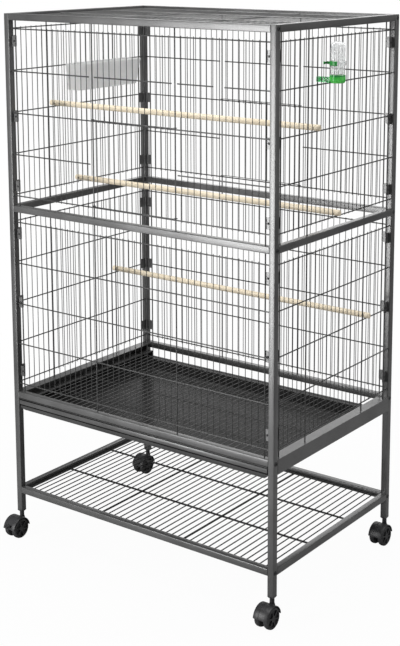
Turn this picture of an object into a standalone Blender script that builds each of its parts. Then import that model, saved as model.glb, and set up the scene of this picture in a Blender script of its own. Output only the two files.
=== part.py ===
# Tall wire parrot cage on casters, with lift doors, perches, slide-out grate and tray.
# Metres, Z up. The front faces -Y, the right side +X, the floor is Z = 0.

import math
import bpy
import bmesh
from mathutils import Matrix, Vector

# Overall frame
WIDTH = 0.785
DEPTH = 0.520
TOP_Z = 1.322
LEG_BOTTOM_Z = 0.066

# Square tube of the posts and rails
TUBE = 0.016
TUBE_WALL = 0.0012
TUBE_ROUND = 0.0015
POST_CAP = 0.002
SEAT = 0.0003

# Bolt heads on the outer faces of the posts
BOLT_RADIUS = 0.0052
BOLT_HEIGHT = 0.0018

# Heights of the rails, lower edge
MID_RAIL_Z = 0.8395
BASE_RAIL_Z = 0.3655
BACK_BASE_RAIL_Z = 0.3700
SHELF_RAIL_Z = 0.113

# Wires
THIN_WIRE = 0.0022
THICK_WIRE = 0.0034
BAR_WIRE = 0.0030
WELD_DEPTH = 0.00035
EDGE_INSET = 0.030
BAY_GAPS = 14
SIDE_EDGE_GAPS = 6

# Bars of the wall panels: the first hangs below a rail, the last stands above one
BARS = 5
UPPER_BAR_DROP = 0.0200
UPPER_BAR_RISE = 0.0245
LOWER_BAR_DROP = 0.0255
LOWER_BAR_RISE = 0.0213

# Lugs that fix the panels to the posts
LUG_HEIGHT = 0.032
LUG_THICK = 0.0018
LUG_CORNER = 0.004
LUG_BACK = 0.0022
LUG_DROP = 0.030
UPPER_LUG_RISE = 0.023
LOWER_LUG_RISE = 0.031
UPPER_LUG_SHIFT = -0.009
LOWER_LUG_SHIFT = 0.0026

# Lift doors
DOOR_STAND_OFF = 0.0060
GUIDE_CLEARANCE = 0.0007
RING_WALL = 0.0030
RING_HEIGHT = 0.0026
BAR_CUT = 0.0085

# Grate and tray
SHEET = 0.0015
SLIDE_GAP = 0.0004
LEDGE_WIDTH = 0.025
GRATE_LEDGE_WIDTH = 0.022
GRATE_BACK_SPACE = 0.0404
APRON_BOTTOM_Z = 0.347
APRON_FLANGE_WIDTH = 0.026
GRATE_WIRE = 0.0022
GRATE_THIN_WIRE = 0.0018
TRAY_DRAFT = 0.006
TRAY_BOTTOM_Z = 0.335
TRAY_SIDE_GAP = 0.0010
TRAY_BACK_FLANGE = 0.0215
STOP_THICK = 0.0015

# Perches
PERCH_DIAMETER = 0.014
PERCH_OVERHANG = 0.0065
PERCH_SIDES = 16

# Water bottle
BOTTLE_DIAMETER = 0.034
BOTTLE_WALL = 0.0012
BOTTLE_LIFT = 0.0025
BOTTLE_HEIGHT = 0.090
BOTTLE_STAND_OFF = 0.0030
CUP_WALL = 0.0012
CUP_DROP = 0.0033
CUP_HEIGHT = 0.021
CUP_FOOT = 0.006
TROUGH_WIDTH = 0.0130
TROUGH_HEIGHT = 0.0110
TROUGH_REACH = 0.028
CLIP_RISE = 0.043
CLIP_HEIGHT = 0.010
CLIP_WALL = 0.0022
CLIP_ARM = 0.0060
CLIP_BAR = 0.030
ROUND_SIDES = 18

# Plastic bath inside the left panel
BATH_LENGTH = 0.238
BATH_DEPTH = 0.056
BATH_HEIGHT = 0.066
BATH_WALL = 0.0016
BATH_DRAFT = 0.006
BATH_CORNER = 0.008
BATH_CENTRE_Y = 0.055
BATH_HOOK_WIDTH = 0.010
BATH_HOOK_GAPS = (13, 20)
BATH_HOOK_SHEET = 0.0016

# Casters
WHEEL_RADIUS = 0.025
WHEEL_WIDTH = 0.014
WHEEL_SPACE = 0.010
WHEEL_CROWN = 0.003
AXLE_RADIUS = 0.004
CASTER_TRAIL = 0.020
HOOD_GAP = 0.0015
HOOD_WALL = 0.0025
WEB_GAP = 0.0007
STEM_RADIUS = 0.004
STEM_RISE = 0.026
COLLAR_RADIUS = 0.0055
PLUG_FLANGE = 0.004
PLUG_DEPTH = 0.028
PLUG_GAP = 0.0003
WHEEL_SIDES = 16
LEVER_WIDTH = 0.014
LEVER_LENGTH = 0.012
LEVER_THICK = 0.0028
LEVER_BARREL = 0.0026
LEVER_ANGLE = math.radians(24)

# Derived places
HALF_W = WIDTH / 2
HALF_D = DEPTH / 2
INNER_X = HALF_W - TUBE
INNER_Y = HALF_D - TUBE
POST_X = HALF_W - TUBE / 2
POST_Y = HALF_D - TUBE / 2
BAR_OFFSET = THICK_WIRE / 2 - WELD_DEPTH + BAR_WIRE / 2
APRON_TOP_Z = BASE_RAIL_Z + TUBE
GRATE_Z = BASE_RAIL_Z - SLIDE_GAP - GRATE_WIRE / 2
GRATE_LEDGE_TOP = GRATE_Z - GRATE_WIRE / 2 - SEAT
TRAY_LEDGE_TOP = APRON_BOTTOM_Z + SHEET
TRAY_FLANGE_Z = TRAY_LEDGE_TOP + SEAT
SHELF_Z = SHELF_RAIL_Z + TUBE / 2
FIELD_GAPS = 3 * BAY_GAPS
RING_REACH = THICK_WIRE / 2 + GUIDE_CLEARANCE

COLLECTION = "parrot_cage"


def clear_scene():
    for item in list(bpy.data.objects):
        bpy.data.objects.remove(item, do_unlink=True)


def part_collection():
    home = bpy.data.collections.new(COLLECTION)
    bpy.context.scene.collection.children.link(home)
    return home


def make_material(name, colour, rough, metal=0.0, clear=0.0):
    mat = bpy.data.materials.new(name)
    mat.use_nodes = True
    shader = mat.node_tree.nodes["Principled BSDF"]
    shader.inputs["Base Color"].default_value = (colour[0], colour[1], colour[2], 1.0)
    shader.inputs["Roughness"].default_value = rough
    shader.inputs["Metallic"].default_value = metal
    shader.inputs["Transmission Weight"].default_value = clear
    mat.diffuse_color = (colour[0], colour[1], colour[2], 1.0)
    return mat


def make_object(name, bm, mat, home, smooth=False):
    bmesh.ops.recalc_face_normals(bm, faces=bm.faces[:])
    for face in bm.faces:
        face.smooth = smooth
    mesh = bpy.data.meshes.new(name)
    bm.to_mesh(mesh)
    bm.free()
    mesh.materials.append(mat)
    obj = bpy.data.objects.new(name, mesh)
    home.objects.link(obj)
    return obj


def add_box(bm, low, high):
    size = [high[i] - low[i] for i in range(3)]
    middle = Vector([(high[i] + low[i]) / 2 for i in range(3)])
    matrix = Matrix.Translation(middle) @ Matrix.Diagonal((size[0], size[1], size[2], 1.0))
    return bmesh.ops.create_cube(bm, size=1.0, matrix=matrix)["verts"]


def add_rod(bm, radius, start, end, sides, radius_end=None):
    start = Vector(start)
    axis = Vector(end) - start
    turn = Vector((0, 0, 1)).rotation_difference(axis.normalized()).to_matrix().to_4x4()
    matrix = Matrix.Translation(start + axis / 2) @ turn
    tip = radius if radius_end is None else radius_end
    return bmesh.ops.create_cone(bm, cap_ends=True, segments=sides, radius1=radius, radius2=tip,
                                 depth=axis.length, matrix=matrix)["verts"]


def combine(obj, other_bm, operation):
    """Unites obj with the closed solids in other_bm, or cuts them from it."""
    bmesh.ops.recalc_face_normals(other_bm, faces=other_bm.faces[:])
    mesh = bpy.data.meshes.new("tool")
    other_bm.to_mesh(mesh)
    other_bm.free()
    tool = bpy.data.objects.new("tool", mesh)
    bpy.context.scene.collection.objects.link(tool)
    step = obj.modifiers.new("combine", "BOOLEAN")
    step.operation = operation
    step.solver = "EXACT"
    step.object = tool
    bpy.context.view_layer.update()
    view = obj.evaluated_get(bpy.context.evaluated_depsgraph_get())
    result = bpy.data.meshes.new_from_object(view)
    obj.modifiers.remove(step)
    old = obj.data
    obj.data = result
    bpy.data.meshes.remove(old)
    bpy.data.objects.remove(tool, do_unlink=True)
    bpy.data.meshes.remove(mesh)
    return obj


def place(obj, matrix):
    """Turns and moves the shape itself, so that the object keeps a plain transform."""
    obj.data.transform(matrix)
    obj.data.update()
    return obj


def set_origin(obj, point):
    obj.data.transform(Matrix.Translation(-Vector(point)))
    obj.location = Vector(point)


def about_z(degrees):
    return Matrix.Rotation(math.radians(degrees), 4, "Z")


def smooth_round(obj, limit=40):
    """Shades the curved faces smooth and keeps the corners sharp."""
    bm = bmesh.new()
    bm.from_mesh(obj.data)
    for face in bm.faces:
        face.smooth = True
    for edge in bm.edges:
        if len(edge.link_faces) == 2 and edge.calc_face_angle() > math.radians(limit):
            edge.smooth = False
    bm.to_mesh(obj.data)
    bm.free()


# Square tubes

def rounded_bar(bm, low, high, axis):
    """A box whose four long edges are broken, running along the given axis."""
    verts = add_box(bm, low, high)
    edges = {e for v in verts for e in v.link_edges}
    chosen = []
    for edge in edges:
        run = (edge.verts[1].co - edge.verts[0].co).normalized()
        if abs(run[axis]) > 0.9:
            chosen.append(edge)
    bmesh.ops.bevel(bm, geom=chosen, offset=TUBE_ROUND, segments=1, affect="EDGES")


def open_tube(name, low, high, axis, mat, home):
    """A square tube with both ends open."""
    bm = bmesh.new()
    rounded_bar(bm, low, high, axis)
    obj = make_object(name, bm, mat, home)
    bore = bmesh.new()
    inner_low = [low[i] + TUBE_WALL for i in range(3)]
    inner_high = [high[i] - TUBE_WALL for i in range(3)]
    inner_low[axis] = low[axis] - TUBE
    inner_high[axis] = high[axis] + TUBE
    add_box(bore, inner_low, inner_high)
    return combine(obj, bore, "DIFFERENCE")


def base_rail_bottom(side_y):
    return BACK_BASE_RAIL_Z if side_y > 0 else BASE_RAIL_Z


def bolt_levels(side_y):
    rails = (TOP_Z - TUBE, MID_RAIL_Z, base_rail_bottom(side_y), SHELF_RAIL_Z)
    return [z + TUBE / 2 for z in rails]


def corner_post(name, side_x, side_y, mat, home):
    x = side_x * POST_X
    y = side_y * POST_Y
    half = TUBE / 2
    bm = bmesh.new()
    rounded_bar(bm, (x - half, y - half, LEG_BOTTOM_Z), (x + half, y + half, TOP_Z), 2)
    obj = make_object(name, bm, mat, home)
    heads = bmesh.new()
    face = side_x * HALF_W
    for z in bolt_levels(side_y):
        add_rod(heads, BOLT_RADIUS, (face - side_x * TUBE_WALL / 2, y, z),
                (face + side_x * BOLT_HEIGHT, y, z), 8, BOLT_RADIUS * 0.7)
    combine(obj, heads, "UNION")
    bore = bmesh.new()
    inner = half - TUBE_WALL
    add_box(bore, (x - inner, y - inner, LEG_BOTTOM_Z - TUBE),
            (x + inner, y + inner, TOP_Z - POST_CAP))
    return combine(obj, bore, "DIFFERENCE")


def front_back_rail(name, side_y, bottom, height, mat, home):
    outer = side_y * HALF_D
    inner = side_y * INNER_Y
    reach = INNER_X - SEAT
    return open_tube(name, (-reach, min(outer, inner), bottom),
                     (reach, max(outer, inner), bottom + height), 0, mat, home)


def side_rail(name, side_x, bottom, height, mat, home):
    outer = side_x * HALF_W
    inner = side_x * INNER_X
    reach = INNER_Y - SEAT
    return open_tube(name, (min(outer, inner), -reach, bottom),
                     (max(outer, inner), reach, bottom + height), 1, mat, home)


def side_apron(name, side_x, mat, home):
    """Folded sheet with a ledge for the tray, a ledge for the grate and stops at the back."""
    web = HALF_W - SHEET
    ledge_low = INNER_X - LEDGE_WIDTH
    ledge_high = INNER_X - GRATE_LEDGE_WIDTH
    flange = HALF_W - APRON_FLANGE_WIDTH
    outline = [(HALF_W, APRON_BOTTOM_Z), (HALF_W, APRON_TOP_Z), (flange, APRON_TOP_Z),
               (flange, APRON_TOP_Z - SHEET), (web, APRON_TOP_Z - SHEET), (web, GRATE_LEDGE_TOP),
               (ledge_high, GRATE_LEDGE_TOP), (ledge_high, GRATE_LEDGE_TOP - SHEET),
               (web, GRATE_LEDGE_TOP - SHEET), (web, TRAY_LEDGE_TOP), (ledge_low, TRAY_LEDGE_TOP),
               (ledge_low, APRON_BOTTOM_Z)]
    reach = INNER_Y - SEAT
    bm = bmesh.new()
    verts = [bm.verts.new((side_x * px, -reach, pz)) for px, pz in outline]
    face = bm.faces.new(verts)
    moved = bmesh.ops.extrude_face_region(bm, geom=[face])["geom"]
    shift = Vector((0, 2 * reach, 0))
    bmesh.ops.translate(bm, verts=[g for g in moved if isinstance(g, bmesh.types.BMVert)], vec=shift)
    obj = make_object(name, bm, mat, home)
    tray_stop = (ledge_low + TRAY_SIDE_GAP, reach - 2 * STOP_THICK, APRON_BOTTOM_Z + SHEET / 2,
                 GRATE_LEDGE_TOP - SHEET / 2)
    grate_stop = (ledge_high + TRAY_SIDE_GAP, grate_end() + SEAT, GRATE_LEDGE_TOP - SHEET / 2,
                  GRATE_Z + GRATE_WIRE)
    for inner, y_low, z_low, z_high in (tray_stop, grate_stop):
        near = side_x * inner
        far = side_x * (HALF_W - SHEET / 2)
        stop = bmesh.new()
        add_box(stop, (min(near, far), y_low, z_low), (max(near, far), y_low + STOP_THICK, z_high))
        combine(obj, stop, "UNION")
    return obj


# Wire panels
# A panel is drawn with its width along X, its height along Z and its outer side towards -Y.

def bar_box(bm, u_low, u_high, v, layer, thick=BAR_WIRE):
    """layer 0 lies in the plane of the uprights, layer 1 is welded to their outer side."""
    y = -layer * BAR_OFFSET
    half = thick / 2
    add_box(bm, (u_low, y - half, v - half), (u_high, y + half, v + half))


def upright_box(bm, u, v_low, v_high, thick, outward=None):
    half = thick / 2
    front = half if outward is None else outward
    add_box(bm, (u - half, -front, v_low), (u + half, half, v_high))


def lug_plates(bm, edge_u, post_u, levels):
    """Flat lugs between the outer upright and the post, on both sides of the panel."""
    inner = edge_u - THICK_WIRE / 2 + WELD_DEPTH
    outer = post_u - SEAT
    half = LUG_HEIGHT / 2
    for z in levels:
        for side in (-1, 1):
            points = [(side * outer, z - half), (side * outer, z + half),
                      (side * (inner + LUG_CORNER), z + half), (side * inner, z + half - LUG_CORNER),
                      (side * inner, z - half + LUG_CORNER), (side * (inner + LUG_CORNER), z - half)]
            verts = [bm.verts.new((pu, LUG_BACK, pv)) for pu, pv in points]
            face = bm.faces.new(verts)
            moved = bmesh.ops.extrude_face_region(bm, geom=[face])["geom"]
            tips = [g for g in moved if isinstance(g, bmesh.types.BMVert)]
            bmesh.ops.translate(bm, verts=tips, vec=Vector((0, -LUG_THICK, 0)))


def wire_positions(edge_u, gaps):
    return [-edge_u + 2 * edge_u * i / gaps for i in range(1, gaps)]


def bar_levels(top, bottom):
    return [top - (top - bottom) * i / (BARS - 1) for i in range(BARS)]


def wall_panel(name, post_u, edge_u, gaps, thick_at, levels, rod_low, rod_high, lug_levels,
               turn, offset, mat, home, door=False, short_bar=None):
    """One wire wall. thick_at holds the gap numbers of the heavy rods."""
    places = wire_positions(edge_u, gaps)
    reach = post_u - SEAT
    heavy = [places[i - 1] for i in thick_at]
    bars = bmesh.new()
    joined = set()
    for row, z in enumerate(levels):
        layer = 0 if row in (0, BARS - 1) else 1
        spans = [(-reach, reach)]
        if door and row in (1, 3):
            left, right = heavy
            spans = [(-reach, left - BAR_CUT), (right + BAR_CUT, reach)]
            joined.update((thick_at[0] - 1, thick_at[1] + 1))
            if row == 1:
                spans.append((left + BAR_CUT, right - BAR_CUT))
                joined.update((thick_at[0] + 1, thick_at[1] - 1))
            if row == 1 and short_bar is not None:
                step = 2 * edge_u / gaps
                middle = places[short_bar - 1]
                spans[1] = (right + BAR_CUT, middle - step + THIN_WIRE)
                spans.append((middle + step - THIN_WIRE, reach))
                joined.update((short_bar - 1, short_bar + 1))
        for u_low, u_high in spans:
            bar_box(bars, u_low, u_high, z, layer)
    lug_plates(bars, edge_u, post_u, lug_levels)
    obj = make_object(name, bars, mat, home)

    rods = bmesh.new()
    for u in [-edge_u, edge_u] + heavy:
        upright_box(rods, u, rod_low, rod_high, THICK_WIRE)
    weld = THICK_WIRE / 2 - WELD_DEPTH + BAR_WIRE / 4
    for number, u in enumerate(places, start=1):
        if number in thick_at:
            continue
        low = levels[-1]
        if door and thick_at[0] < number < thick_at[1]:
            low = levels[2] - BAR_WIRE
        upright_box(rods, u, low, levels[0], THIN_WIRE, weld if number in joined else None)
    combine(obj, rods, "UNION")
    return place(obj, Matrix.Translation(offset) @ about_z(turn))


def front_back_panel(name, upper, back, mat, home):
    levels = upper_levels() if upper else lower_levels()
    rod_low, rod_high = rod_ends(upper, base_rail_bottom(1 if back else -1) + TUBE)
    edge_u = HALF_W - EDGE_INSET
    return wall_panel(name, INNER_X, edge_u, FIELD_GAPS, (BAY_GAPS, 2 * BAY_GAPS), levels, rod_low,
                      rod_high, lug_heights(upper), 180 if back else 0,
                      (0, POST_Y if back else -POST_Y, 0), mat, home, door=upper,
                      short_bar=(2 * BAY_GAPS + BAY_GAPS // 2) if upper and not back else None)


def side_panel(name, upper, right, mat, home):
    levels = upper_levels() if upper else lower_levels()
    rod_low, rod_high = rod_ends(upper, APRON_TOP_Z)
    edge_u = HALF_D - EDGE_INSET
    return wall_panel(name, INNER_Y, edge_u, side_gaps(), (SIDE_EDGE_GAPS, SIDE_EDGE_GAPS + BAY_GAPS),
                      levels, rod_low, rod_high, lug_heights(upper), 90 if right else -90,
                      (POST_X if right else -POST_X, 0, 0), mat, home)


def side_gaps():
    return 2 * SIDE_EDGE_GAPS + BAY_GAPS


def upper_levels():
    return bar_levels(TOP_Z - TUBE - UPPER_BAR_DROP, MID_RAIL_Z + TUBE + UPPER_BAR_RISE)


def lower_levels():
    return bar_levels(MID_RAIL_Z - LOWER_BAR_DROP, APRON_TOP_Z + LOWER_BAR_RISE)


def rod_ends(upper, floor_frame_top):
    if upper:
        return MID_RAIL_Z + TUBE + SEAT, TOP_Z - TUBE - SEAT
    return floor_frame_top + SEAT, MID_RAIL_Z - SEAT


def lug_heights(upper):
    levels = upper_levels() if upper else lower_levels()
    rise = UPPER_LUG_RISE if upper else LOWER_LUG_RISE
    shift = UPPER_LUG_SHIFT if upper else LOWER_LUG_SHIFT
    return [levels[0] - LUG_DROP, (levels[0] + levels[-1]) / 2 + shift, levels[-1] + rise]


def flat_mesh(name, z, above, mat, home):
    """A level field of wires inside a frame of rails, with its cross bars above or below."""
    reach_u = INNER_X - SEAT
    reach_v = INNER_Y - SEAT
    edge_u = reach_u - THICK_WIRE / 2
    end_v = reach_v - BAR_WIRE / 2
    bars = bmesh.new()
    bar_box(bars, -reach_u, reach_u, end_v, 0)
    bar_box(bars, -reach_u, reach_u, -end_v, 0)
    for v in (-end_v / 3, end_v / 3):
        bar_box(bars, -edge_u, edge_u, v, 1)
    obj = make_object(name, bars, mat, home)
    rods = bmesh.new()
    upright_box(rods, -edge_u, -reach_v + BAR_WIRE / 4, reach_v - BAR_WIRE / 4, THICK_WIRE)
    upright_box(rods, edge_u, -reach_v + BAR_WIRE / 4, reach_v - BAR_WIRE / 4, THICK_WIRE)
    for number, u in enumerate(wire_positions(edge_u, FIELD_GAPS), start=1):
        thick = THICK_WIRE if number % BAY_GAPS == 0 else THIN_WIRE
        upright_box(rods, u, -end_v, end_v, thick)
    combine(obj, rods, "UNION")
    turn = Matrix.Rotation(math.radians(-90 if above else 90), 4, "X")
    return place(obj, Matrix.Translation((0, 0, z)) @ turn)


def lift_door(name, back, mat, home):
    """Guillotine door: bars outside the panel, with a ring round each guide rod at its corners."""
    edge_u = HALF_W - EDGE_INSET
    places = wire_positions(edge_u, FIELD_GAPS)
    guide = places[2 * BAY_GAPS - 1]
    levels = upper_levels()
    rest = BAR_WIRE / 2 + SEAT + RING_HEIGHT / 2
    low = levels[-1] + rest
    high = levels[2] + rest
    wire = THIN_WIRE / 2
    frame = bmesh.new()
    for z in (low, high):
        add_box(frame, (-guide - RING_REACH, -DOOR_STAND_OFF - wire, z - wire),
                (guide + RING_REACH, -DOOR_STAND_OFF + wire, z + wire))
    obj = make_object(name, frame, mat, home)

    rings = bmesh.new()
    outer = RING_REACH + RING_WALL
    for z in (low, high):
        for u in (-guide, guide):
            add_box(rings, (u - outer, -DOOR_STAND_OFF, z - RING_HEIGHT / 2),
                    (u + outer, outer, z + RING_HEIGHT / 2))
    combine(obj, rings, "UNION")
    holes = bmesh.new()
    for z in (low, high):
        for u in (-guide, guide):
            add_box(holes, (u - RING_REACH, -RING_REACH, z - RING_HEIGHT),
                    (u + RING_REACH, RING_REACH, z + RING_HEIGHT))
    combine(obj, holes, "DIFFERENCE")

    rods = bmesh.new()
    for number in range(BAY_GAPS + 1, 2 * BAY_GAPS):
        u = places[number - 1]
        add_box(rods, (u - wire, -DOOR_STAND_OFF - wire * 0.9, low),
                          (u + wire, -DOOR_STAND_OFF + wire * 0.9, high))
    combine(obj, rods, "UNION")
    y = POST_Y if back else -POST_Y
    place(obj, Matrix.Translation((0, y, 0)) @ about_z(180 if back else 0))
    set_origin(obj, (0, y, low))
    return obj


# Grate and tray

def slide_end():
    """Back edge of the tray, just clear of the stops on the aprons."""
    return INNER_Y - 2 * SEAT - 2 * STOP_THICK


def grate_end():
    return slide_end() - GRATE_BACK_SPACE


def floor_grate(mat, home):
    reach_u = INNER_X - TRAY_SIDE_GAP
    front = -HALF_D
    back = grate_end()
    half = GRATE_WIRE / 2
    edge_u = reach_u - half
    bars = bmesh.new()
    add_box(bars, (-reach_u, front, GRATE_Z - half), (reach_u, front + GRATE_WIRE, GRATE_Z + half))
    add_box(bars, (-reach_u, back - GRATE_WIRE, GRATE_Z - half), (reach_u, back, GRATE_Z + half))
    obj = make_object("grate", bars, mat, home)
    rods = bmesh.new()
    thin = GRATE_THIN_WIRE / 2
    places = [-edge_u + thin / 2] + wire_positions(edge_u, FIELD_GAPS) + [edge_u - thin / 2]
    for u in places:
        add_box(rods, (u - thin, front + half, GRATE_Z - thin), (u + thin, back - half, GRATE_Z + thin))
    combine(obj, rods, "UNION")
    set_origin(obj, (0, front, GRATE_Z))
    return obj


def frustum(bm, x, y_low, y_high, z_low, z_high, draft):
    verts = add_box(bm, (-x, y_low, z_low), (x, y_high, z_high))
    for vert in verts:
        if vert.co.z < (z_low + z_high) / 2:
            vert.co.x -= math.copysign(draft, vert.co.x)
            vert.co.y -= math.copysign(draft, vert.co.y - (y_low + y_high) / 2)


def waste_tray(mat, home):
    front = -HALF_D
    back = slide_end()
    reach_u = INNER_X - TRAY_SIDE_GAP
    body_u = INNER_X - LEDGE_WIDTH - 2 * TRAY_SIDE_GAP
    body_front = front + 2 * SHEET
    body_back = back - TRAY_BACK_FLANGE
    flange_top = TRAY_FLANGE_Z + SHEET
    bm = bmesh.new()
    add_box(bm, (-reach_u, front + SHEET / 2, TRAY_FLANGE_Z), (reach_u, back, flange_top))
    obj = make_object("tray", bm, mat, home)
    pan = bmesh.new()
    frustum(pan, body_u, body_front, body_back, TRAY_BOTTOM_Z, flange_top - SHEET / 2, TRAY_DRAFT)
    combine(obj, pan, "UNION")
    hollow = bmesh.new()
    frustum(hollow, body_u - SHEET, body_front + SHEET, body_back - SHEET, TRAY_BOTTOM_Z + SHEET,
            flange_top + SHEET, TRAY_DRAFT)
    combine(obj, hollow, "DIFFERENCE")
    lip = bmesh.new()
    lip_top = GRATE_Z - GRATE_WIRE / 2 - SLIDE_GAP
    add_box(lip, (-reach_u + SHEET / 4, front, TRAY_FLANGE_Z + SHEET / 4),
            (reach_u - SHEET / 4, front + SHEET, lip_top))
    combine(obj, lip, "UNION")
    set_origin(obj, (0, front, TRAY_FLANGE_Z))
    return obj


# Perches

def perch(name, y, bar_z, mat, home):
    """A dowel that lies on a bar of both side panels and reaches through them."""
    z = bar_z + BAR_WIRE / 2 + SEAT + PERCH_DIAMETER / 2
    bm = bmesh.new()
    half = HALF_W + PERCH_OVERHANG
    add_rod(bm, PERCH_DIAMETER / 2, (-half, y, z), (half, y, z), PERCH_SIDES)
    obj = make_object(name, bm, mat, home)
    smooth_round(obj)
    return obj


def side_gap_centre(number):
    """Middle of the space before the numbered upright of a side panel."""
    edge_u = HALF_D - EDGE_INSET
    step = 2 * edge_u / side_gaps()
    return -edge_u + step * (number - 0.5)


# Water bottle

def bottle_axis():
    x = POST_X + BAR_OFFSET + BAR_WIRE / 2 + BOTTLE_STAND_OFF + BOTTLE_DIAMETER / 2
    return x, side_gap_centre(11)


def revolve(profile, centre, sides):
    """A solid turned round a vertical line from radius and height pairs."""
    bm = bmesh.new()
    last = None
    first = None
    edges = []
    for radius, z in profile:
        vert = bm.verts.new((radius, 0, z))
        if last is not None:
            edges.append(bm.edges.new((last, vert)))
        last = vert
        first = first or vert
    bmesh.ops.spin(bm, geom=bm.verts[:] + edges, cent=(0, 0, 0), axis=(0, 0, 1),
                   angle=2 * math.pi, steps=sides, use_merge=True, use_duplicate=False)
    bmesh.ops.remove_doubles(bm, verts=bm.verts[:], dist=0.00005)
    bmesh.ops.translate(bm, verts=bm.verts[:], vec=Vector((centre[0], centre[1], 0)))
    return bm


def trough_floor():
    return upper_levels()[1] + BAR_WIRE / 2 + SEAT


def clip_height():
    return trough_floor() + CLIP_RISE


def water_bottle(mat, home):
    r = BOTTLE_DIAMETER / 2
    w = BOTTLE_WALL
    base = trough_floor() - CUP_DROP + CUP_WALL + BOTTLE_LIFT
    top = base + BOTTLE_HEIGHT
    dome = r * 0.55
    outer = [(r * 0.55, base), (r * 0.9, base + 0.004), (r, base + 0.010), (r, top - dome),
             (r * 0.86, top - dome * 0.45), (r * 0.5, top - dome * 0.1), (0, top)]
    inner = [(0, top - w), (r * 0.46, top - dome * 0.1 - w), (r * 0.86 - w, top - dome * 0.45 - w / 2),
             (r - w, top - dome), (r - w, base + 0.010), (r * 0.9 - w, base + 0.0045),
             (r * 0.55 - w, base)]
    bm = revolve(outer + inner + [outer[0]], bottle_axis(), ROUND_SIDES)
    obj = make_object("water_bottle", bm, mat, home)
    smooth_round(obj, 50)
    return obj


def bottle_cup(mat, home):
    """Green cup under the bottle, with a narrow trough that reaches in between two wires."""
    x, y = bottle_axis()
    inner = BOTTLE_DIAMETER / 2 + SEAT
    outer = inner + CUP_WALL
    sill = trough_floor()
    floor = sill - CUP_DROP
    top = floor + CUP_HEIGHT
    profile = [(0, floor), (outer * 0.82, floor), (outer, floor + CUP_FOOT), (outer, top), (inner, top),
               (inner, floor + CUP_FOOT + SEAT), (outer * 0.82 - CUP_WALL, floor + CUP_WALL),
               (0, floor + CUP_WALL)]
    bm = revolve(profile, (x, y), ROUND_SIDES)
    obj = make_object("bottle_cup", bm, mat, home)
    wide = TROUGH_WIDTH / 2
    inside = POST_X - TROUGH_REACH
    trough = bmesh.new()
    verts = add_box(trough, (inside, y - wide, sill),
                    (x - inner + CUP_WALL, y + wide, sill + TROUGH_HEIGHT))
    bmesh.ops.bevel(trough, geom=list({e for v in verts for e in v.link_edges
                                       if abs((e.verts[1].co - e.verts[0].co).normalized().z) > 0.9
                                       and e.verts[0].co.x < POST_X}),
                    offset=wide * 0.6, segments=2, profile=0.5, affect="EDGES")
    combine(obj, trough, "UNION")
    seat = bmesh.new()
    add_rod(seat, inner - SEAT / 3, (x, y, floor + CUP_FOOT + SEAT), (x, y, top + CUP_WALL), ROUND_SIDES)
    combine(obj, seat, "DIFFERENCE")
    hollow = bmesh.new()
    thin = wide - CUP_WALL
    add_box(hollow, (inside + CUP_WALL * 1.6, y - thin * 0.85, sill + CUP_WALL),
            (x - inner + CUP_WALL * 2, y + thin * 0.85, sill + 2 * TROUGH_HEIGHT))
    combine(obj, hollow, "DIFFERENCE")
    smooth_round(obj)
    return obj


def bottle_clip(mat, home):
    """Ring round the bottle with an arm through the wires and a cross bar behind them."""
    x, y = bottle_axis()
    clip_z = clip_height()
    inner = BOTTLE_DIAMETER / 2 + SEAT
    outer = inner + CLIP_WALL
    half = CLIP_HEIGHT / 2
    profile = [(inner, clip_z - half), (outer, clip_z - half), (outer, clip_z + half),
               (inner, clip_z + half), (inner, clip_z - half)]
    bm = revolve(profile, (x, y), ROUND_SIDES)
    obj = make_object("bottle_clip", bm, mat, home)
    arm = bmesh.new()
    behind = POST_X - THIN_WIRE / 2 - SEAT
    arm_half = CLIP_ARM / 2
    add_box(arm, (behind - CLIP_WALL / 2, y - arm_half, clip_z - arm_half),
            (x - inner - CLIP_WALL / 2, y + arm_half, clip_z + arm_half))
    combine(obj, arm, "UNION")
    cross = bmesh.new()
    add_box(cross, (behind - CLIP_WALL, y - CLIP_BAR / 2, clip_z - arm_half * 0.8),
            (behind, y + CLIP_BAR / 2, clip_z + arm_half * 0.8))
    combine(obj, cross, "UNION")
    smooth_round(obj)
    return obj


# Bath

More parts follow.
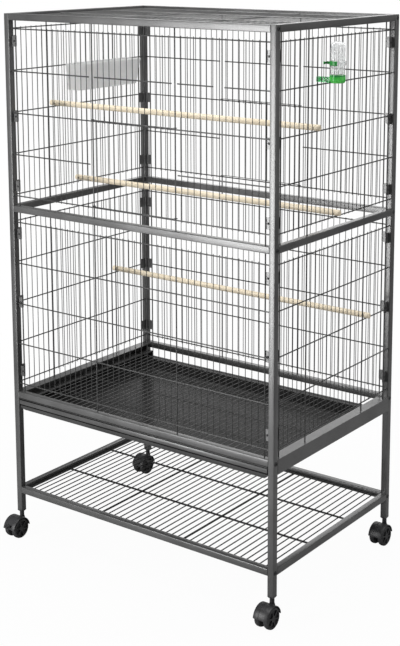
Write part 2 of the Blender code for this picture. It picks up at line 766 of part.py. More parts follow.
def hanging_bath(mat, home):
    """Open plastic box inside the left panel, hooked over its second bar."""
    bar_z = upper_levels()[1]
    wall_x = -POST_X + LUG_BACK + SEAT
    far_x = wall_x + BATH_DEPTH
    top = bar_z + BAR_WIRE / 2 + SEAT + BATH_HOOK_SHEET
    low = top - BATH_HEIGHT
    y_low = BATH_CENTRE_Y - BATH_LENGTH / 2
    y_high = BATH_CENTRE_Y + BATH_LENGTH / 2

    def tapered(bm, gap, z_low, z_high):
        verts = add_box(bm, (wall_x + gap, y_low + gap, z_low), (far_x - gap, y_high - gap, z_high))
        for vert in verts:
            if vert.co.z < (z_low + z_high) / 2:
                vert.co.y -= math.copysign(BATH_DRAFT, vert.co.y - BATH_CENTRE_Y)
                if vert.co.x > (wall_x + far_x) / 2:
                    vert.co.x -= BATH_DRAFT * 2
        upright = [e for e in {e for v in verts for e in v.link_edges}
                   if abs((e.verts[1].co - e.verts[0].co).normalized().z) > 0.8]
        bmesh.ops.bevel(bm, geom=upright, offset=BATH_CORNER - gap, segments=2, profile=0.5,
                        affect="EDGES")

    bm = bmesh.new()
    tapered(bm, 0.0, low, top)
    obj = make_object("bath", bm, mat, home)
    hollow = bmesh.new()
    tapered(hollow, BATH_WALL, low + BATH_WALL, top + BATH_WALL)
    combine(obj, hollow, "DIFFERENCE")

    hooks = bmesh.new()
    bar_out = -POST_X - BAR_OFFSET - BAR_WIRE / 2
    for number in BATH_HOOK_GAPS:
        y = side_gap_centre(number)
        half = BATH_HOOK_WIDTH / 2
        under = bar_z + BAR_WIRE / 2 + SEAT
        lip = bar_out - SEAT
        outline = [(wall_x + BATH_WALL / 2, under), (wall_x + BATH_WALL / 2, under + BATH_HOOK_SHEET * 0.8),
                   (lip - BATH_HOOK_SHEET, under + BATH_HOOK_SHEET * 0.8),
                   (lip - BATH_HOOK_SHEET, bar_z - 2 * BAR_WIRE), (lip, bar_z - 2 * BAR_WIRE),
                   (lip, under)]
        corners = [hooks.verts.new((px, y - half, pz)) for px, pz in outline]
        face = hooks.faces.new(corners)
        moved = bmesh.ops.extrude_face_region(hooks, geom=[face])["geom"]
        tips = [g for g in moved if isinstance(g, bmesh.types.BMVert)]
        bmesh.ops.translate(hooks, verts=tips, vec=Vector((0, BATH_HOOK_WIDTH, 0)))
    combine(obj, hooks, "UNION")
    return obj


# Casters

def leg_plug(name, x, y, mat, home):
    """Plastic plug in the foot of a post, bored for the caster stem."""
    insert = TUBE / 2 - TUBE_WALL - PLUG_GAP
    flange = TUBE / 2
    bottom = LEG_BOTTOM_Z - SEAT - PLUG_FLANGE
    bm = bmesh.new()
    verts = add_box(bm, (x - flange, y - flange, bottom), (x + flange, y + flange, LEG_BOTTOM_Z - SEAT))
    for vert in verts:
        if vert.co.z < LEG_BOTTOM_Z - PLUG_FLANGE / 2 - SEAT:
            vert.co.x = x + (vert.co.x - x) * 0.72
            vert.co.y = y + (vert.co.y - y) * 0.72
    obj = make_object(name, bm, mat, home)
    core = bmesh.new()
    add_box(core, (x - insert, y - insert, LEG_BOTTOM_Z - PLUG_FLANGE / 2),
            (x + insert, y + insert, LEG_BOTTOM_Z + PLUG_DEPTH))
    combine(obj, core, "UNION")
    bore = bmesh.new()
    add_rod(bore, STEM_RADIUS + PLUG_GAP, (x, y, bottom - PLUG_FLANGE),
            (x, y, LEG_BOTTOM_Z + 2 * PLUG_DEPTH), 12)
    return combine(obj, bore, "DIFFERENCE")


def wheel_half_width():
    return WHEEL_SPACE / 2 + WHEEL_WIDTH


def twin_wheel(name, x, y, mat, home):
    """Two wheels on one axle, turned round the X axis."""
    inner = WHEEL_SPACE / 2
    outer = wheel_half_width()
    r = WHEEL_RADIUS
    crown = WHEEL_CROWN
    half = [(outer, 0), (outer, r - crown * 1.4), (outer - crown, r), (inner + crown, r),
            (inner, r - crown), (inner, AXLE_RADIUS)]
    profile = [(px, pr) for px, pr in half] + [(-px, pr) for px, pr in reversed(half)]
    bm = bmesh.new()
    last = None
    edges = []
    for px, pr in profile:
        vert = bm.verts.new((px, 0, pr))
        if last is not None:
            edges.append(bm.edges.new((last, vert)))
        last = vert
    bmesh.ops.spin(bm, geom=bm.verts[:] + edges, cent=(0, 0, 0), axis=(1, 0, 0),
                   angle=2 * math.pi, steps=WHEEL_SIDES, use_merge=True, use_duplicate=False)
    bmesh.ops.remove_doubles(bm, verts=bm.verts[:], dist=0.00005)
    centre = Vector((x, y - CASTER_TRAIL, r))
    bmesh.ops.translate(bm, verts=bm.verts[:], vec=centre)
    obj = make_object(name, bm, mat, home)
    smooth_round(obj)
    set_origin(obj, centre)
    return obj


def caster_hood(name, x, y, mat, home):
    """Hood over both wheels with the web between them, the collar and the stem."""
    centre = Vector((x, y - CASTER_TRAIL, WHEEL_RADIUS))
    clear = WHEEL_RADIUS + HOOD_GAP
    shell = clear + HOOD_WALL
    side = wheel_half_width()
    bm = bmesh.new()
    add_rod(bm, shell, centre - Vector((side, 0, 0)), centre + Vector((side, 0, 0)), WHEEL_SIDES)
    obj = make_object(name, bm, mat, home)
    lower = bmesh.new()
    add_box(lower, (x - 2 * side, centre.y - 2 * shell, -shell),
            (x + 2 * side, centre.y + 2 * shell, centre.z + 0.003))
    combine(obj, lower, "DIFFERENCE")
    collar = bmesh.new()
    collar_top = LEG_BOTTOM_Z - PLUG_FLANGE - 2 * SEAT
    add_rod(collar, COLLAR_RADIUS, (x, y, centre.z + WHEEL_RADIUS / 2), (x, y, collar_top), 12)
    combine(obj, collar, "UNION")
    space = bmesh.new()
    web = WHEEL_SPACE / 2 - WEB_GAP
    for way in (-1, 1):
        add_rod(space, clear, centre + Vector((way * web, 0, 0)), centre + Vector((way * 2 * side, 0, 0)),
                WHEEL_SIDES)
    combine(obj, space, "DIFFERENCE")
    hub = bmesh.new()
    add_rod(hub, AXLE_RADIUS * 2.4, centre - Vector((web * 0.96, 0, 0)),
            centre + Vector((web * 0.96, 0, 0)), 12)
    combine(obj, hub, "UNION")
    stem = bmesh.new()
    add_rod(stem, STEM_RADIUS, (x, y, collar_top - COLLAR_RADIUS), (x, y, LEG_BOTTOM_Z + STEM_RISE), 12)
    combine(obj, stem, "UNION")
    hole = bmesh.new()
    add_rod(hole, AXLE_RADIUS + WEB_GAP / 2, centre - Vector((side, 0, 0)),
            centre + Vector((side, 0, 0)), 12)
    combine(obj, hole, "DIFFERENCE")
    smooth_round(obj)
    set_origin(obj, (x, y, LEG_BOTTOM_Z))
    return obj


def lever_pivot(x, y):
    reach = WHEEL_RADIUS + HOOD_GAP + HOOD_WALL + SEAT + LEVER_BARREL
    return Vector((x, y - CASTER_TRAIL - reach * math.cos(LEVER_ANGLE),
                   WHEEL_RADIUS + reach * math.sin(LEVER_ANGLE)))


def brake_lever(name, x, y, mat, home):
    """Foot lever on a barrel that lies against the hood."""
    pivot = lever_pivot(x, y)
    half = LEVER_WIDTH / 2
    bm = bmesh.new()
    add_rod(bm, LEVER_BARREL, pivot - Vector((half, 0, 0)), pivot + Vector((half, 0, 0)), 10)
    obj = make_object(name, bm, mat, home)
    pad = bmesh.new()
    thick = LEVER_THICK / 2
    verts = add_box(pad, (-half * 0.92, -LEVER_LENGTH, -thick), (half * 0.92, 0, thick))
    for vert in verts:
        if vert.co.y < -LEVER_LENGTH / 2:
            vert.co.x *= 0.8
    bmesh.ops.translate(pad, verts=pad.verts[:], vec=pivot)
    combine(obj, pad, "UNION")
    smooth_round(obj)
    set_origin(obj, pivot)
    return obj


def materials():
    return {
        "frame": make_material("charcoal_powder_coat", (0.085, 0.087, 0.090), 0.55, 0.35),
        "wire": make_material("charcoal_wire", (0.070, 0.072, 0.075), 0.5, 0.4),
        "pan": make_material("black_pan", (0.030, 0.030, 0.032), 0.6),
        "wood": make_material("pale_wood", (0.74, 0.62, 0.44), 0.6),
        "clear": make_material("clear_plastic", (0.86, 0.88, 0.88), 0.12, 0.0, 0.8),
        "green": make_material("green_plastic", (0.09, 0.52, 0.10), 0.35),
        "milky": make_material("milky_plastic", (0.70, 0.71, 0.72), 0.3, 0.0, 0.3),
        "black": make_material("black_plastic", (0.028, 0.028, 0.030), 0.45),
        "plug": make_material("plug_plastic", (0.050, 0.050, 0.052), 0.5),
    }


CORNERS = (("fl", -1, -1), ("fr", 1, -1), ("bl", -1, 1), ("br", 1, 1))
BRAKED = ("fl", "bl")


def build():
    clear_scene()
    home = part_collection()
    mats = materials()
    for tag, side_x, side_y in CORNERS:
        x = side_x * POST_X
        y = side_y * POST_Y
        corner_post("post_" + tag, side_x, side_y, mats["frame"], home)
        leg_plug("leg_plug_" + tag, x, y, mats["plug"], home)
        caster_hood("caster_hood_" + tag, x, y, mats["black"], home)
        twin_wheel("caster_wheels_" + tag, x, y, mats["black"], home)
        if tag in BRAKED:
            brake_lever("brake_lever_" + tag, x, y, mats["black"], home)
    for tag, side_y in (("front", -1), ("back", 1)):
        front_back_rail("top_rail_" + tag, side_y, TOP_Z - TUBE, TUBE, mats["frame"], home)
        front_back_rail("mid_rail_" + tag, side_y, MID_RAIL_Z, TUBE, mats["frame"], home)
        front_back_rail("base_rail_" + tag, side_y, base_rail_bottom(side_y), TUBE, mats["frame"], home)
        front_back_rail("shelf_rail_" + tag, side_y, SHELF_RAIL_Z, TUBE, mats["frame"], home)
        front_back_panel("panel_upper_" + tag, True, side_y > 0, mats["wire"], home)
        front_back_panel("panel_lower_" + tag, False, side_y > 0, mats["wire"], home)
        lift_door("door_" + tag, side_y > 0, mats["wire"], home)
    for tag, side_x in (("left", -1), ("right", 1)):
        side_rail("top_rail_" + tag, side_x, TOP_Z - TUBE, TUBE, mats["frame"], home)
        side_rail("mid_rail_" + tag, side_x, MID_RAIL_Z, TUBE, mats["frame"], home)
        side_apron("apron_" + tag, side_x, mats["frame"], home)
        side_rail("shelf_rail_" + tag, side_x, SHELF_RAIL_Z, TUBE, mats["frame"], home)
        side_panel("panel_upper_" + tag, True, side_x > 0, mats["wire"], home)
        side_panel("panel_lower_" + tag, False, side_x > 0, mats["wire"], home)
    flat_mesh("top_mesh", TOP_Z - TUBE / 2, True, mats["wire"], home)
    flat_mesh("shelf_mesh", SHELF_Z, False, mats["wire"], home)
    floor_grate(mats["pan"], home)
    waste_tray(mats["pan"], home)
    perch("perch_front", side_gap_centre(8), upper_levels()[2], mats["wood"], home)
    perch("perch_middle", side_gap_centre(13), upper_levels()[4], mats["wood"], home)
    perch("perch_back", side_gap_centre(21), lower_levels()[2], mats["wood"], home)
    water_bottle(mats["clear"], home)
    bottle_cup(mats["green"], home)
    bottle_clip(mats["green"], home)
    hanging_bath(mats["milky"], home)


build()
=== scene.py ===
import math
import random
import bpy
import bmesh
from mathutils import Matrix, Vector

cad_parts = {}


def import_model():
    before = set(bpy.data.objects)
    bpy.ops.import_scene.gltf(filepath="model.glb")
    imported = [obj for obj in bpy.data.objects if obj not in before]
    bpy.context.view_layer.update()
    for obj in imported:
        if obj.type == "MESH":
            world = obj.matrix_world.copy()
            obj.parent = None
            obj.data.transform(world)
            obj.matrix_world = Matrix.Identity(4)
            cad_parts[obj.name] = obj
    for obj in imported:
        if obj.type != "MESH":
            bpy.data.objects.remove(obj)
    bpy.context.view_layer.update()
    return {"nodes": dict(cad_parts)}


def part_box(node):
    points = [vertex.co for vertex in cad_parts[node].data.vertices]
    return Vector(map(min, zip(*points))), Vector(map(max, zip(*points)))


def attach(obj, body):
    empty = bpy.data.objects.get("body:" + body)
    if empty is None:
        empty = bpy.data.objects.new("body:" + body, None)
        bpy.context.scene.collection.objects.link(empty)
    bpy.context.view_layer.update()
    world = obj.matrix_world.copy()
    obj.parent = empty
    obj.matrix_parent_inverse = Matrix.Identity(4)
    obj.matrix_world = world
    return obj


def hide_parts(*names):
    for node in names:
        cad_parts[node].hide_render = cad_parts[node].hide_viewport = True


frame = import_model()

# Sizes shared with the frame, in metres
HALF_W = 0.3925
HALF_D = 0.260
TOP_Z = 1.322
LEG_Z = 0.066
TUBE = 0.016
TUBE_WALL = 0.0012
POST_X = HALF_W - TUBE / 2
POST_Y = HALF_D - TUBE / 2
INNER_X = HALF_W - TUBE
INNER_Y = HALF_D - TUBE
EDGE_X = HALF_W - 0.030
EDGE_Y = HALF_D - 0.030
MID_Z = 0.8395
BASE_Z = 0.3655
BACK_BASE_Z = 0.3700
SHELF_Z = 0.113
APRON_TOP = BASE_Z + TUBE
UPPER = [1.286 - 0.1015 * i for i in range(5)]
LOWER = [0.814 - 0.1028 * i for i in range(5)]
UPPER_LUGS = (1.256, 1.074, 0.903)
LOWER_LUGS = (0.784, 0.611, 0.434)
CORNERS = (("fl", -1, -1), ("fr", 1, -1), ("bl", -1, 1), ("br", 1, 1))

# Wires: radii, depth of a weld, and sides of a round section
THIN = 0.00085
THICK = 0.0016
BAR = 0.0015
WELD_DEPTH = 0.0004
WIRE_SIDES = 10
THIN_SIDES = 8

# Panels: spaces between uprights, numbers of the thick rods, and gaps in the cross bars
WIDE_GAPS = 42
WIDE_THICK = (14, 28)
SIDE_GAPS = 26
SIDE_THICK = (6, 20)
DOOR_BAR_GAP = 0.0085
SHORT_BAR = 35

# Doors: space over the bar they rest on, height of their rings, and degrees of a loop
DOOR_SEAT = 0.0003
DOOR_RING = 0.0026
LOOP_ANGLE = 300

# Base and bottle
SHEET = 0.0015
TRAY_FLANGE_Z = 0.3488
GRATE_ROD = 0.0011
GRATE_WIRE = 0.0008
BOTTLE_SLIM = 0.94
CUP_LIFT = 0.0030
CUP_COLLAR = 0.0040

# Casters
WHEEL_RADIUS = 0.025
WHEEL_OUTER = 0.019
WHEEL_INNER = 0.005
AXLE_BACK = 0.020
HOOD_RADIUS = 0.0285
HOOD_START = 6

# Angle in degrees from which an edge stays sharp
EDGE_LIMIT = 35


def link(name, bm, mat, body, limit=EDGE_LIMIT, replaces=()):
    """Turns a bmesh into a smooth piece of the object that rides on a body."""
    bmesh.ops.recalc_face_normals(bm, faces=bm.faces[:])
    cut = math.radians(limit)
    for face in bm.faces:
        face.smooth = True
    for edge in bm.edges:
        if len(edge.link_faces) == 2 and edge.calc_face_angle(0.0) > cut:
            edge.smooth = False
    mesh = bpy.data.meshes.new(name)
    bm.to_mesh(mesh)
    bm.free()
    mats = mat if isinstance(mat, (list, tuple)) else [mat]
    for one in mats:
        mesh.materials.append(one)
    obj = bpy.data.objects.new(name, mesh)
    bpy.context.scene.collection.objects.link(obj)
    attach(obj, body)
    if replaces:
        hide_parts(*replaces)


# Mesh helpers

def tube(bm, points, radius, sides=WIRE_SIDES, mat_index=0):
    """A round wire along a path, with closed ends."""
    pts = [Vector(p) for p in points]
    rings = []
    side = (pts[1] - pts[0]).normalized().orthogonal().normalized()
    for i, point in enumerate(pts):
        if i == 0:
            way = (pts[1] - pts[0]).normalized()
        elif i == len(pts) - 1:
            way = (pts[-1] - pts[-2]).normalized()
        else:
            ahead = (pts[i + 1] - point).normalized()
            way = (ahead + (point - pts[i - 1]).normalized()).normalized()
        side = (side - way * side.dot(way)).normalized()
        other = way.cross(side)
        ring = []
        for k in range(sides):
            a = 2 * math.pi * k / sides
            ring.append(bm.verts.new(point + radius * (math.cos(a) * side + math.sin(a) * other)))
        rings.append(ring)
    for a, b in zip(rings, rings[1:]):
        for k in range(sides):
            face = bm.faces.new((a[k], a[(k + 1) % sides], b[(k + 1) % sides], b[k]))
            face.material_index = mat_index
    bm.faces.new(list(reversed(rings[0]))).material_index = mat_index
    bm.faces.new(rings[-1]).material_index = mat_index


def box(bm, low, high, mat_index=0):
    """A box between two corners. Returns its vertices."""
    size = [high[i] - low[i] for i in range(3)]
    middle = Vector([(high[i] + low[i]) / 2 for i in range(3)])
    matrix = Matrix.Translation(middle) @ Matrix.Diagonal((size[0], size[1], size[2], 1.0))
    verts = bmesh.ops.create_cube(bm, size=1.0, matrix=matrix)["verts"]
    for face in {f for v in verts for f in v.link_faces}:
        face.material_index = mat_index
    return verts


def blob(bm, centre, rx, ry, rz):
    """A weld bead."""
    matrix = Matrix.Translation(centre) @ Matrix.Diagonal((rx, ry, rz, 1.0))
    bmesh.ops.create_icosphere(bm, subdivisions=1, radius=1.0, matrix=matrix)


def soft_box(bm, low, high, width, segments=2, mat_index=0):
    """A box with rounded edges."""
    verts = box(bm, low, high, mat_index)
    edges = list({e for v in verts for e in v.link_edges})
    bmesh.ops.bevel(bm, geom=edges, offset=width, segments=segments, affect="EDGES", profile=0.5)


def revolve(profile, sides, axis="Z"):
    """Closed solid from (radius, height) pairs, turned round Z and laid along X if asked."""
    bm = bmesh.new()
    verts = []
    for radius, z in profile:
        verts.append(bm.verts.new((radius, 0, z)))
    edges = [bm.edges.new((a, b)) for a, b in zip(verts, verts[1:])]
    bmesh.ops.spin(bm, geom=verts + edges, cent=(0, 0, 0), axis=(0, 0, 1), angle=2 * math.pi,
                   steps=sides, use_merge=True, use_duplicate=False)
    bmesh.ops.remove_doubles(bm, verts=bm.verts[:], dist=0.00001)
    if axis == "X":
        bmesh.ops.transform(bm, verts=bm.verts[:], matrix=Matrix.Rotation(math.radians(90), 4, "Y"))
    return bm


def join_into(bm, other, matrix, mat_index=0):
    """Moves the solids of other by matrix and into bm, and frees other."""
    bmesh.ops.transform(other, verts=other.verts[:], matrix=matrix)
    for face in other.faces:
        face.material_index = mat_index
    mesh = bpy.data.meshes.new("part")
    other.to_mesh(mesh)
    other.free()
    bm.from_mesh(mesh)
    bpy.data.meshes.remove(mesh)


def rounded_square(half, radius, segments):
    """Points round a square with round corners."""
    points = []
    for cx, cy, start in ((1, 1, 0), (-1, 1, 90), (-1, -1, 180), (1, -1, 270)):
        for k in range(segments + 1):
            a = math.radians(start + 90 * k / segments)
            points.append((cx * (half - radius) + radius * math.cos(a),
                           cy * (half - radius) + radius * math.sin(a)))
    return points


def loft(bm, rings, mat_index=0):
    """A solid through rings of points, closed at both ends."""
    built = [[bm.verts.new(p) for p in ring] for ring in rings]
    count = len(rings[0])
    for a, b in zip(built, built[1:]):
        for k in range(count):
            after = (k + 1) % count
            bm.faces.new((a[k], a[after], b[after], b[k])).material_index = mat_index
    bm.faces.new(list(reversed(built[0]))).material_index = mat_index
    bm.faces.new(built[-1]).material_index = mat_index


def about_z(degrees):
    """A turn round the Z axis."""
    return Matrix.Rotation(math.radians(degrees), 4, "Z")


# Materials

def grey(value):
    """A colour without hue."""
    return (value, value, value)


def new_material(name):
    """A material with nodes, its tree and its shader."""
    mat = bpy.data.materials.new(name)
    mat.use_nodes = True
    tree = mat.node_tree
    return mat, tree, tree.nodes["Principled BSDF"]


def add_node(tree, kind, **values):
    """Adds a node and sets inputs or settings by name."""
    node = tree.nodes.new(kind)
    for key, value in values.items():
        if key in node.inputs:
            node.inputs[key].default_value = value
        else:
            setattr(node, key, value)
    return node


def ramp(tree, source, stops):
    """Colours a value by a row of stops."""
    node = tree.nodes.new("ShaderNodeValToRGB")
    tree.links.new(source, node.inputs["Fac"])
    items = node.color_ramp.elements
    while len(items) < len(stops):
        items.new(0.5)
    for item, (place, colour) in zip(items, stops):
        item.position = place
        item.color = (*colour, 1.0)
    return node.outputs["Color"]


def object_coords(tree, scale=(1, 1, 1)):
    """The piece's own coordinates, stretched by scale."""
    coords = tree.nodes.new("ShaderNodeTexCoord")
    mapping = tree.nodes.new("ShaderNodeMapping")
    mapping.inputs["Scale"].default_value = scale
    tree.links.new(coords.outputs["Object"], mapping.inputs["Vector"])
    return mapping.outputs["Vector"]


def coated_steel(name, dark, light, rough, hammer, metallic=0.0, specular=0.5):
    """Powder coat: mottled colour, fine bumps and uneven gloss."""
    mat, tree, shader = new_material(name)
    scale = 700.0
    vector = object_coords(tree)
    mottle = add_node(tree, "ShaderNodeTexNoise", Scale=scale, Detail=3.0, Roughness=0.6)
    broad = add_node(tree, "ShaderNodeTexNoise", Scale=9.0, Detail=4.0, Roughness=0.55)
    pits = add_node(tree, "ShaderNodeTexVoronoi", Scale=scale * 0.6)
    for node in (mottle, broad, pits):
        tree.links.new(vector, node.inputs["Vector"])
    mix = add_node(tree, "ShaderNodeMath", operation="MULTIPLY_ADD")
    mix.inputs[1].default_value = 0.55
    tree.links.new(mottle.outputs["Fac"], mix.inputs[0])
    half = add_node(tree, "ShaderNodeMath", operation="MULTIPLY")
    half.inputs[1].default_value = 0.45
    tree.links.new(broad.outputs["Fac"], half.inputs[0])
    tree.links.new(half.outputs[0], mix.inputs[2])
    colour = ramp(tree, mix.outputs[0], [(0.34, dark), (0.66, light)])
    tree.links.new(colour, shader.inputs["Base Color"])
    gloss = add_node(tree, "ShaderNodeMapRange")
    gloss.inputs["To Min"].default_value = rough - 0.06
    gloss.inputs["To Max"].default_value = rough + 0.08
    tree.links.new(broad.outputs["Fac"], gloss.inputs["Value"])
    tree.links.new(gloss.outputs["Result"], shader.inputs["Roughness"])
    bump = add_node(tree, "ShaderNodeBump", Strength=hammer, Distance=0.0003)
    tree.links.new(pits.outputs["Distance"], bump.inputs["Height"])
    tree.links.new(bump.outputs["Normal"], shader.inputs["Normal"])
    shader.inputs["Metallic"].default_value = metallic
    shader.inputs["Specular IOR Level"].default_value = specular
    return mat


def pale_wood():
    """Sanded wood with long grain and fine streaks along X."""
    mat, tree, shader = new_material("perch_wood")
    vector = object_coords(tree, (0.6, 9.0, 9.0))
    grain = add_node(tree, "ShaderNodeTexNoise", Scale=22.0, Detail=6.0, Roughness=0.6,
                     Distortion=0.4)
    tree.links.new(vector, grain.inputs["Vector"])
    streak_vector = object_coords(tree, (2.0, 160.0, 160.0))
    streak = add_node(tree, "ShaderNodeTexNoise", Scale=7.0, Detail=4.0, Roughness=0.7)
    tree.links.new(streak_vector, streak.inputs["Vector"])
    total = add_node(tree, "ShaderNodeMath", operation="MULTIPLY_ADD")
    total.inputs[1].default_value = 0.5
    tree.links.new(streak.outputs["Fac"], total.inputs[0])
    half = add_node(tree, "ShaderNodeMath", operation="MULTIPLY")
    half.inputs[1].default_value = 0.5
    tree.links.new(grain.outputs["Fac"], half.inputs[0])
    tree.links.new(half.outputs[0], total.inputs[2])
    stops = [(0.30, (0.52, 0.43, 0.30)), (0.48, (0.70, 0.61, 0.46)), (0.72, (0.80, 0.72, 0.57))]
    colour = ramp(tree, total.outputs[0], stops)
    tree.links.new(colour, shader.inputs["Base Color"])
    shader.inputs["Roughness"].default_value = 0.62
    bump = add_node(tree, "ShaderNodeBump", Strength=0.25, Distance=0.0004)
    tree.links.new(streak.outputs["Fac"], bump.inputs["Height"])
    tree.links.new(bump.outputs["Normal"], shader.inputs["Normal"])
    return mat


def moulded(name, dark, light, rough, clear=0.0, ior=1.46, grain=900.0, bump_strength=0.12):
    """Moulded plastic with a fine grain, and clear where asked."""
    mat, tree, shader = new_material(name)
    vector = object_coords(tree)
    noise = add_node(tree, "ShaderNodeTexNoise", Scale=60.0, Detail=3.0)
    fine = add_node(tree, "ShaderNodeTexNoise", Scale=grain, Detail=2.0)
    for node in (noise, fine):
        tree.links.new(vector, node.inputs["Vector"])
    colour = ramp(tree, noise.outputs["Fac"], [(0.35, dark), (0.65, light)])
    tree.links.new(colour, shader.inputs["Base Color"])
    gloss = add_node(tree, "ShaderNodeMapRange")
    gloss.inputs["To Min"].default_value = max(rough - 0.04, 0.02)
    gloss.inputs["To Max"].default_value = rough + 0.05
    tree.links.new(noise.outputs["Fac"], gloss.inputs["Value"])
    tree.links.new(gloss.outputs["Result"], shader.inputs["Roughness"])
    bump = add_node(tree, "ShaderNodeBump", Strength=bump_strength, Distance=0.0002)
    tree.links.new(fine.outputs["Fac"], bump.inputs["Height"])
    tree.links.new(bump.outputs["Normal"], shader.inputs["Normal"])
    shader.inputs["Transmission Weight"].default_value = clear
    shader.inputs["IOR"].default_value = ior
    return mat


FRAME = coated_steel("charcoal_hammered_coat", grey(0.085), grey(0.165), 0.32, 0.12, 0.65)
WIRE = coated_steel("charcoal_wire_coat", grey(0.030), grey(0.060), 0.38, 0.10, 0.3)
# Lug coat: the frame coat made lighter, painted light on the lug plates
LUG = coated_steel("charcoal_lug_coat_painted_light", grey(0.120), grey(0.220), 0.38, 0.12, 0.65)
PAN = coated_steel("black_pan_coat", grey(0.010), grey(0.022), 0.24, 0.10, specular=0.03)
PAN_RIM = coated_steel("black_rim_coat", grey(0.035), grey(0.070), 0.34, 0.10, 0.3)
# Grate wire coat: lighter than the dark grate, a painted highlight on its thin wires
GRATE = coated_steel("grate_coat_painted_highlight", grey(0.150), grey(0.250), 0.32, 0.10, 0.55)
# Top wire coat: the wire coat made lighter, painted light falling on the top of the cage
TOP = coated_steel("top_wire_coat_painted_light", grey(0.150), grey(0.270), 0.34, 0.10, 0.6)
SHELF = coated_steel("black_shelf_wire_coat", grey(0.012), grey(0.028), 0.50, 0.10, 0.1)
SCREW = coated_steel("black_screw", (0.020, 0.020, 0.021), (0.050, 0.050, 0.052), 0.38, 0.05, 0.4)
STEEL = coated_steel("bright_steel", (0.45, 0.45, 0.46), (0.62, 0.62, 0.63), 0.28, 0.03, 1.0)
WOOD = pale_wood()
BLACK = moulded("caster_black_plastic", (0.012, 0.012, 0.013), (0.028, 0.028, 0.030), 0.42)
TYRE = moulded("caster_tread", (0.016, 0.016, 0.017), (0.036, 0.036, 0.038), 0.60)
PLUG = moulded("leg_plug_plastic", (0.030, 0.031, 0.032), (0.060, 0.061, 0.063), 0.5)
GREEN = moulded("green_plastic", (0.05, 0.56, 0.07), (0.15, 0.80, 0.14), 0.20, 0.15)
DARK_GREEN = moulded("dark_green_plastic", (0.02, 0.25, 0.05), (0.06, 0.42, 0.09), 0.25, 0.1)
GREEN_CLEAR = moulded("green_see_through", (0.06, 0.42, 0.14), (0.12, 0.55, 0.22), 0.15, 0.7, 1.3)
CLEAR = moulded("clear_bottle", (0.93, 0.94, 0.94), grey(0.99), 0.08, 0.84, 1.12, 200.0, 0.03)
MILKY = moulded("milky_bath", grey(0.86), grey(0.93), 0.35, 0.5, 1.1)


# Posts and rails

def tube_profile():
    """Outline of a square tube."""
    return rounded_square(TUBE / 2, 0.0018, 4)


def bore_profile():
    """Outline of a square tube's inside."""
    return rounded_square(TUBE / 2 - TUBE_WALL, 0.0008, 4)


def bolt_head(bm, x, y, z, side, index):
    """Button head with a hexagon socket on the outer face of a post."""
    sides = 20
    rings = ((0.0, 0.0052), (0.0006, 0.0052), (0.0013, 0.0045), (0.0018, 0.0032))
    built = []
    for rise, radius in rings:
        ring = []
        for k in range(sides):
            a = 2 * math.pi * k / sides
            ring.append((x + side * rise, y + radius * math.cos(a), z + radius * math.sin(a)))
        built.append(ring)
    for depth, radius in ((0.0018, 0.0022), (0.0004, 0.0021)):
        ring = []
        for k in range(sides):
            a = 2 * math.pi * k / sides
            wave = radius / max(math.cos((a % (math.pi / 3)) - math.pi / 6), 0.01) * 0.9
            ring.append((x + side * depth, y + wave * math.cos(a), z + wave * math.sin(a)))
        built.append(ring)
    loft(bm, built, index)


def post(tag, side_x, side_y):
    """Corner post, open at the foot, with a bolt head at each rail."""
    x = side_x * POST_X
    y = side_y * POST_Y
    bm = bmesh.new()
    outline = tube_profile()
    inner = bore_profile()
    rings = [[(x + px, y + py, LEG_Z + 0.030) for px, py in inner]]
    rings.append([(x + px, y + py, LEG_Z) for px, py in inner])
    rings.append([(x + px * 0.995, y + py * 0.995, LEG_Z) for px, py in outline])
    rings.append([(x + px, y + py, LEG_Z + 0.0004) for px, py in outline])
    rings.append([(x + px, y + py, TOP_Z - 0.0012) for px, py in outline])
    rings.append([(x + px * 0.975, y + py * 0.975, TOP_Z - 0.0003) for px, py in outline])
    rings.append([(x + px * 0.91, y + py * 0.91, TOP_Z) for px, py in outline])
    loft(bm, rings)
    base = BACK_BASE_Z if side_y > 0 else BASE_Z
    for z in (TOP_Z - TUBE, MID_Z, base, SHELF_Z):
        bolt_head(bm, side_x * HALF_W, y, z + TUBE / 2, side_x, 1)
    link("post_" + tag + "_tube", bm, [FRAME, SCREW], "cage",
         replaces=("post_" + tag,))


def rail(node, axis, fixed, low_z, reach):
    """Square tube between two posts, along X or Y, open at both ends."""
    bm = bmesh.new()
    outline = tube_profile()
    inner = bore_profile()
    z = low_z + TUBE / 2

    def at(along, pts):
        if axis == "X":
            return [(along, fixed + px, z + py) for px, py in pts]
        return [(fixed + px, along, z + py) for px, py in pts]

    loft(bm, [at(-reach + 0.02, inner), at(-reach, inner), at(-reach, outline),
              at(reach, outline), at(reach, inner), at(reach - 0.02, inner)])
    link(node + "_tube", bm, FRAME, "cage", replaces=(node,))


def frame_tubes():
    """Four posts and fourteen rails."""
    end_gap = 0.00005
    for tag, side_x, side_y in CORNERS:
        post(tag, side_x, side_y)
    for tag, side in (("front", -1), ("back", 1)):
        fixed = side * POST_Y
        base = BACK_BASE_Z if side > 0 else BASE_Z
        levels = (("top", TOP_Z - TUBE), ("mid", MID_Z), ("base", base), ("shelf", SHELF_Z))
        for level, z in levels:
            rail(f"{level}_rail_{tag}", "X", fixed, z, INNER_X - end_gap)
    for tag, side in (("left", -1), ("right", 1)):
        fixed = side * POST_X
        for level, z in (("top", TOP_Z - TUBE), ("mid", MID_Z), ("shelf", SHELF_Z)):
            rail(f"{level}_rail_{tag}", "Y", fixed, z, INNER_Y - end_gap)


# Wire panels, drawn with their width along X, height along Z and outer side towards -Y

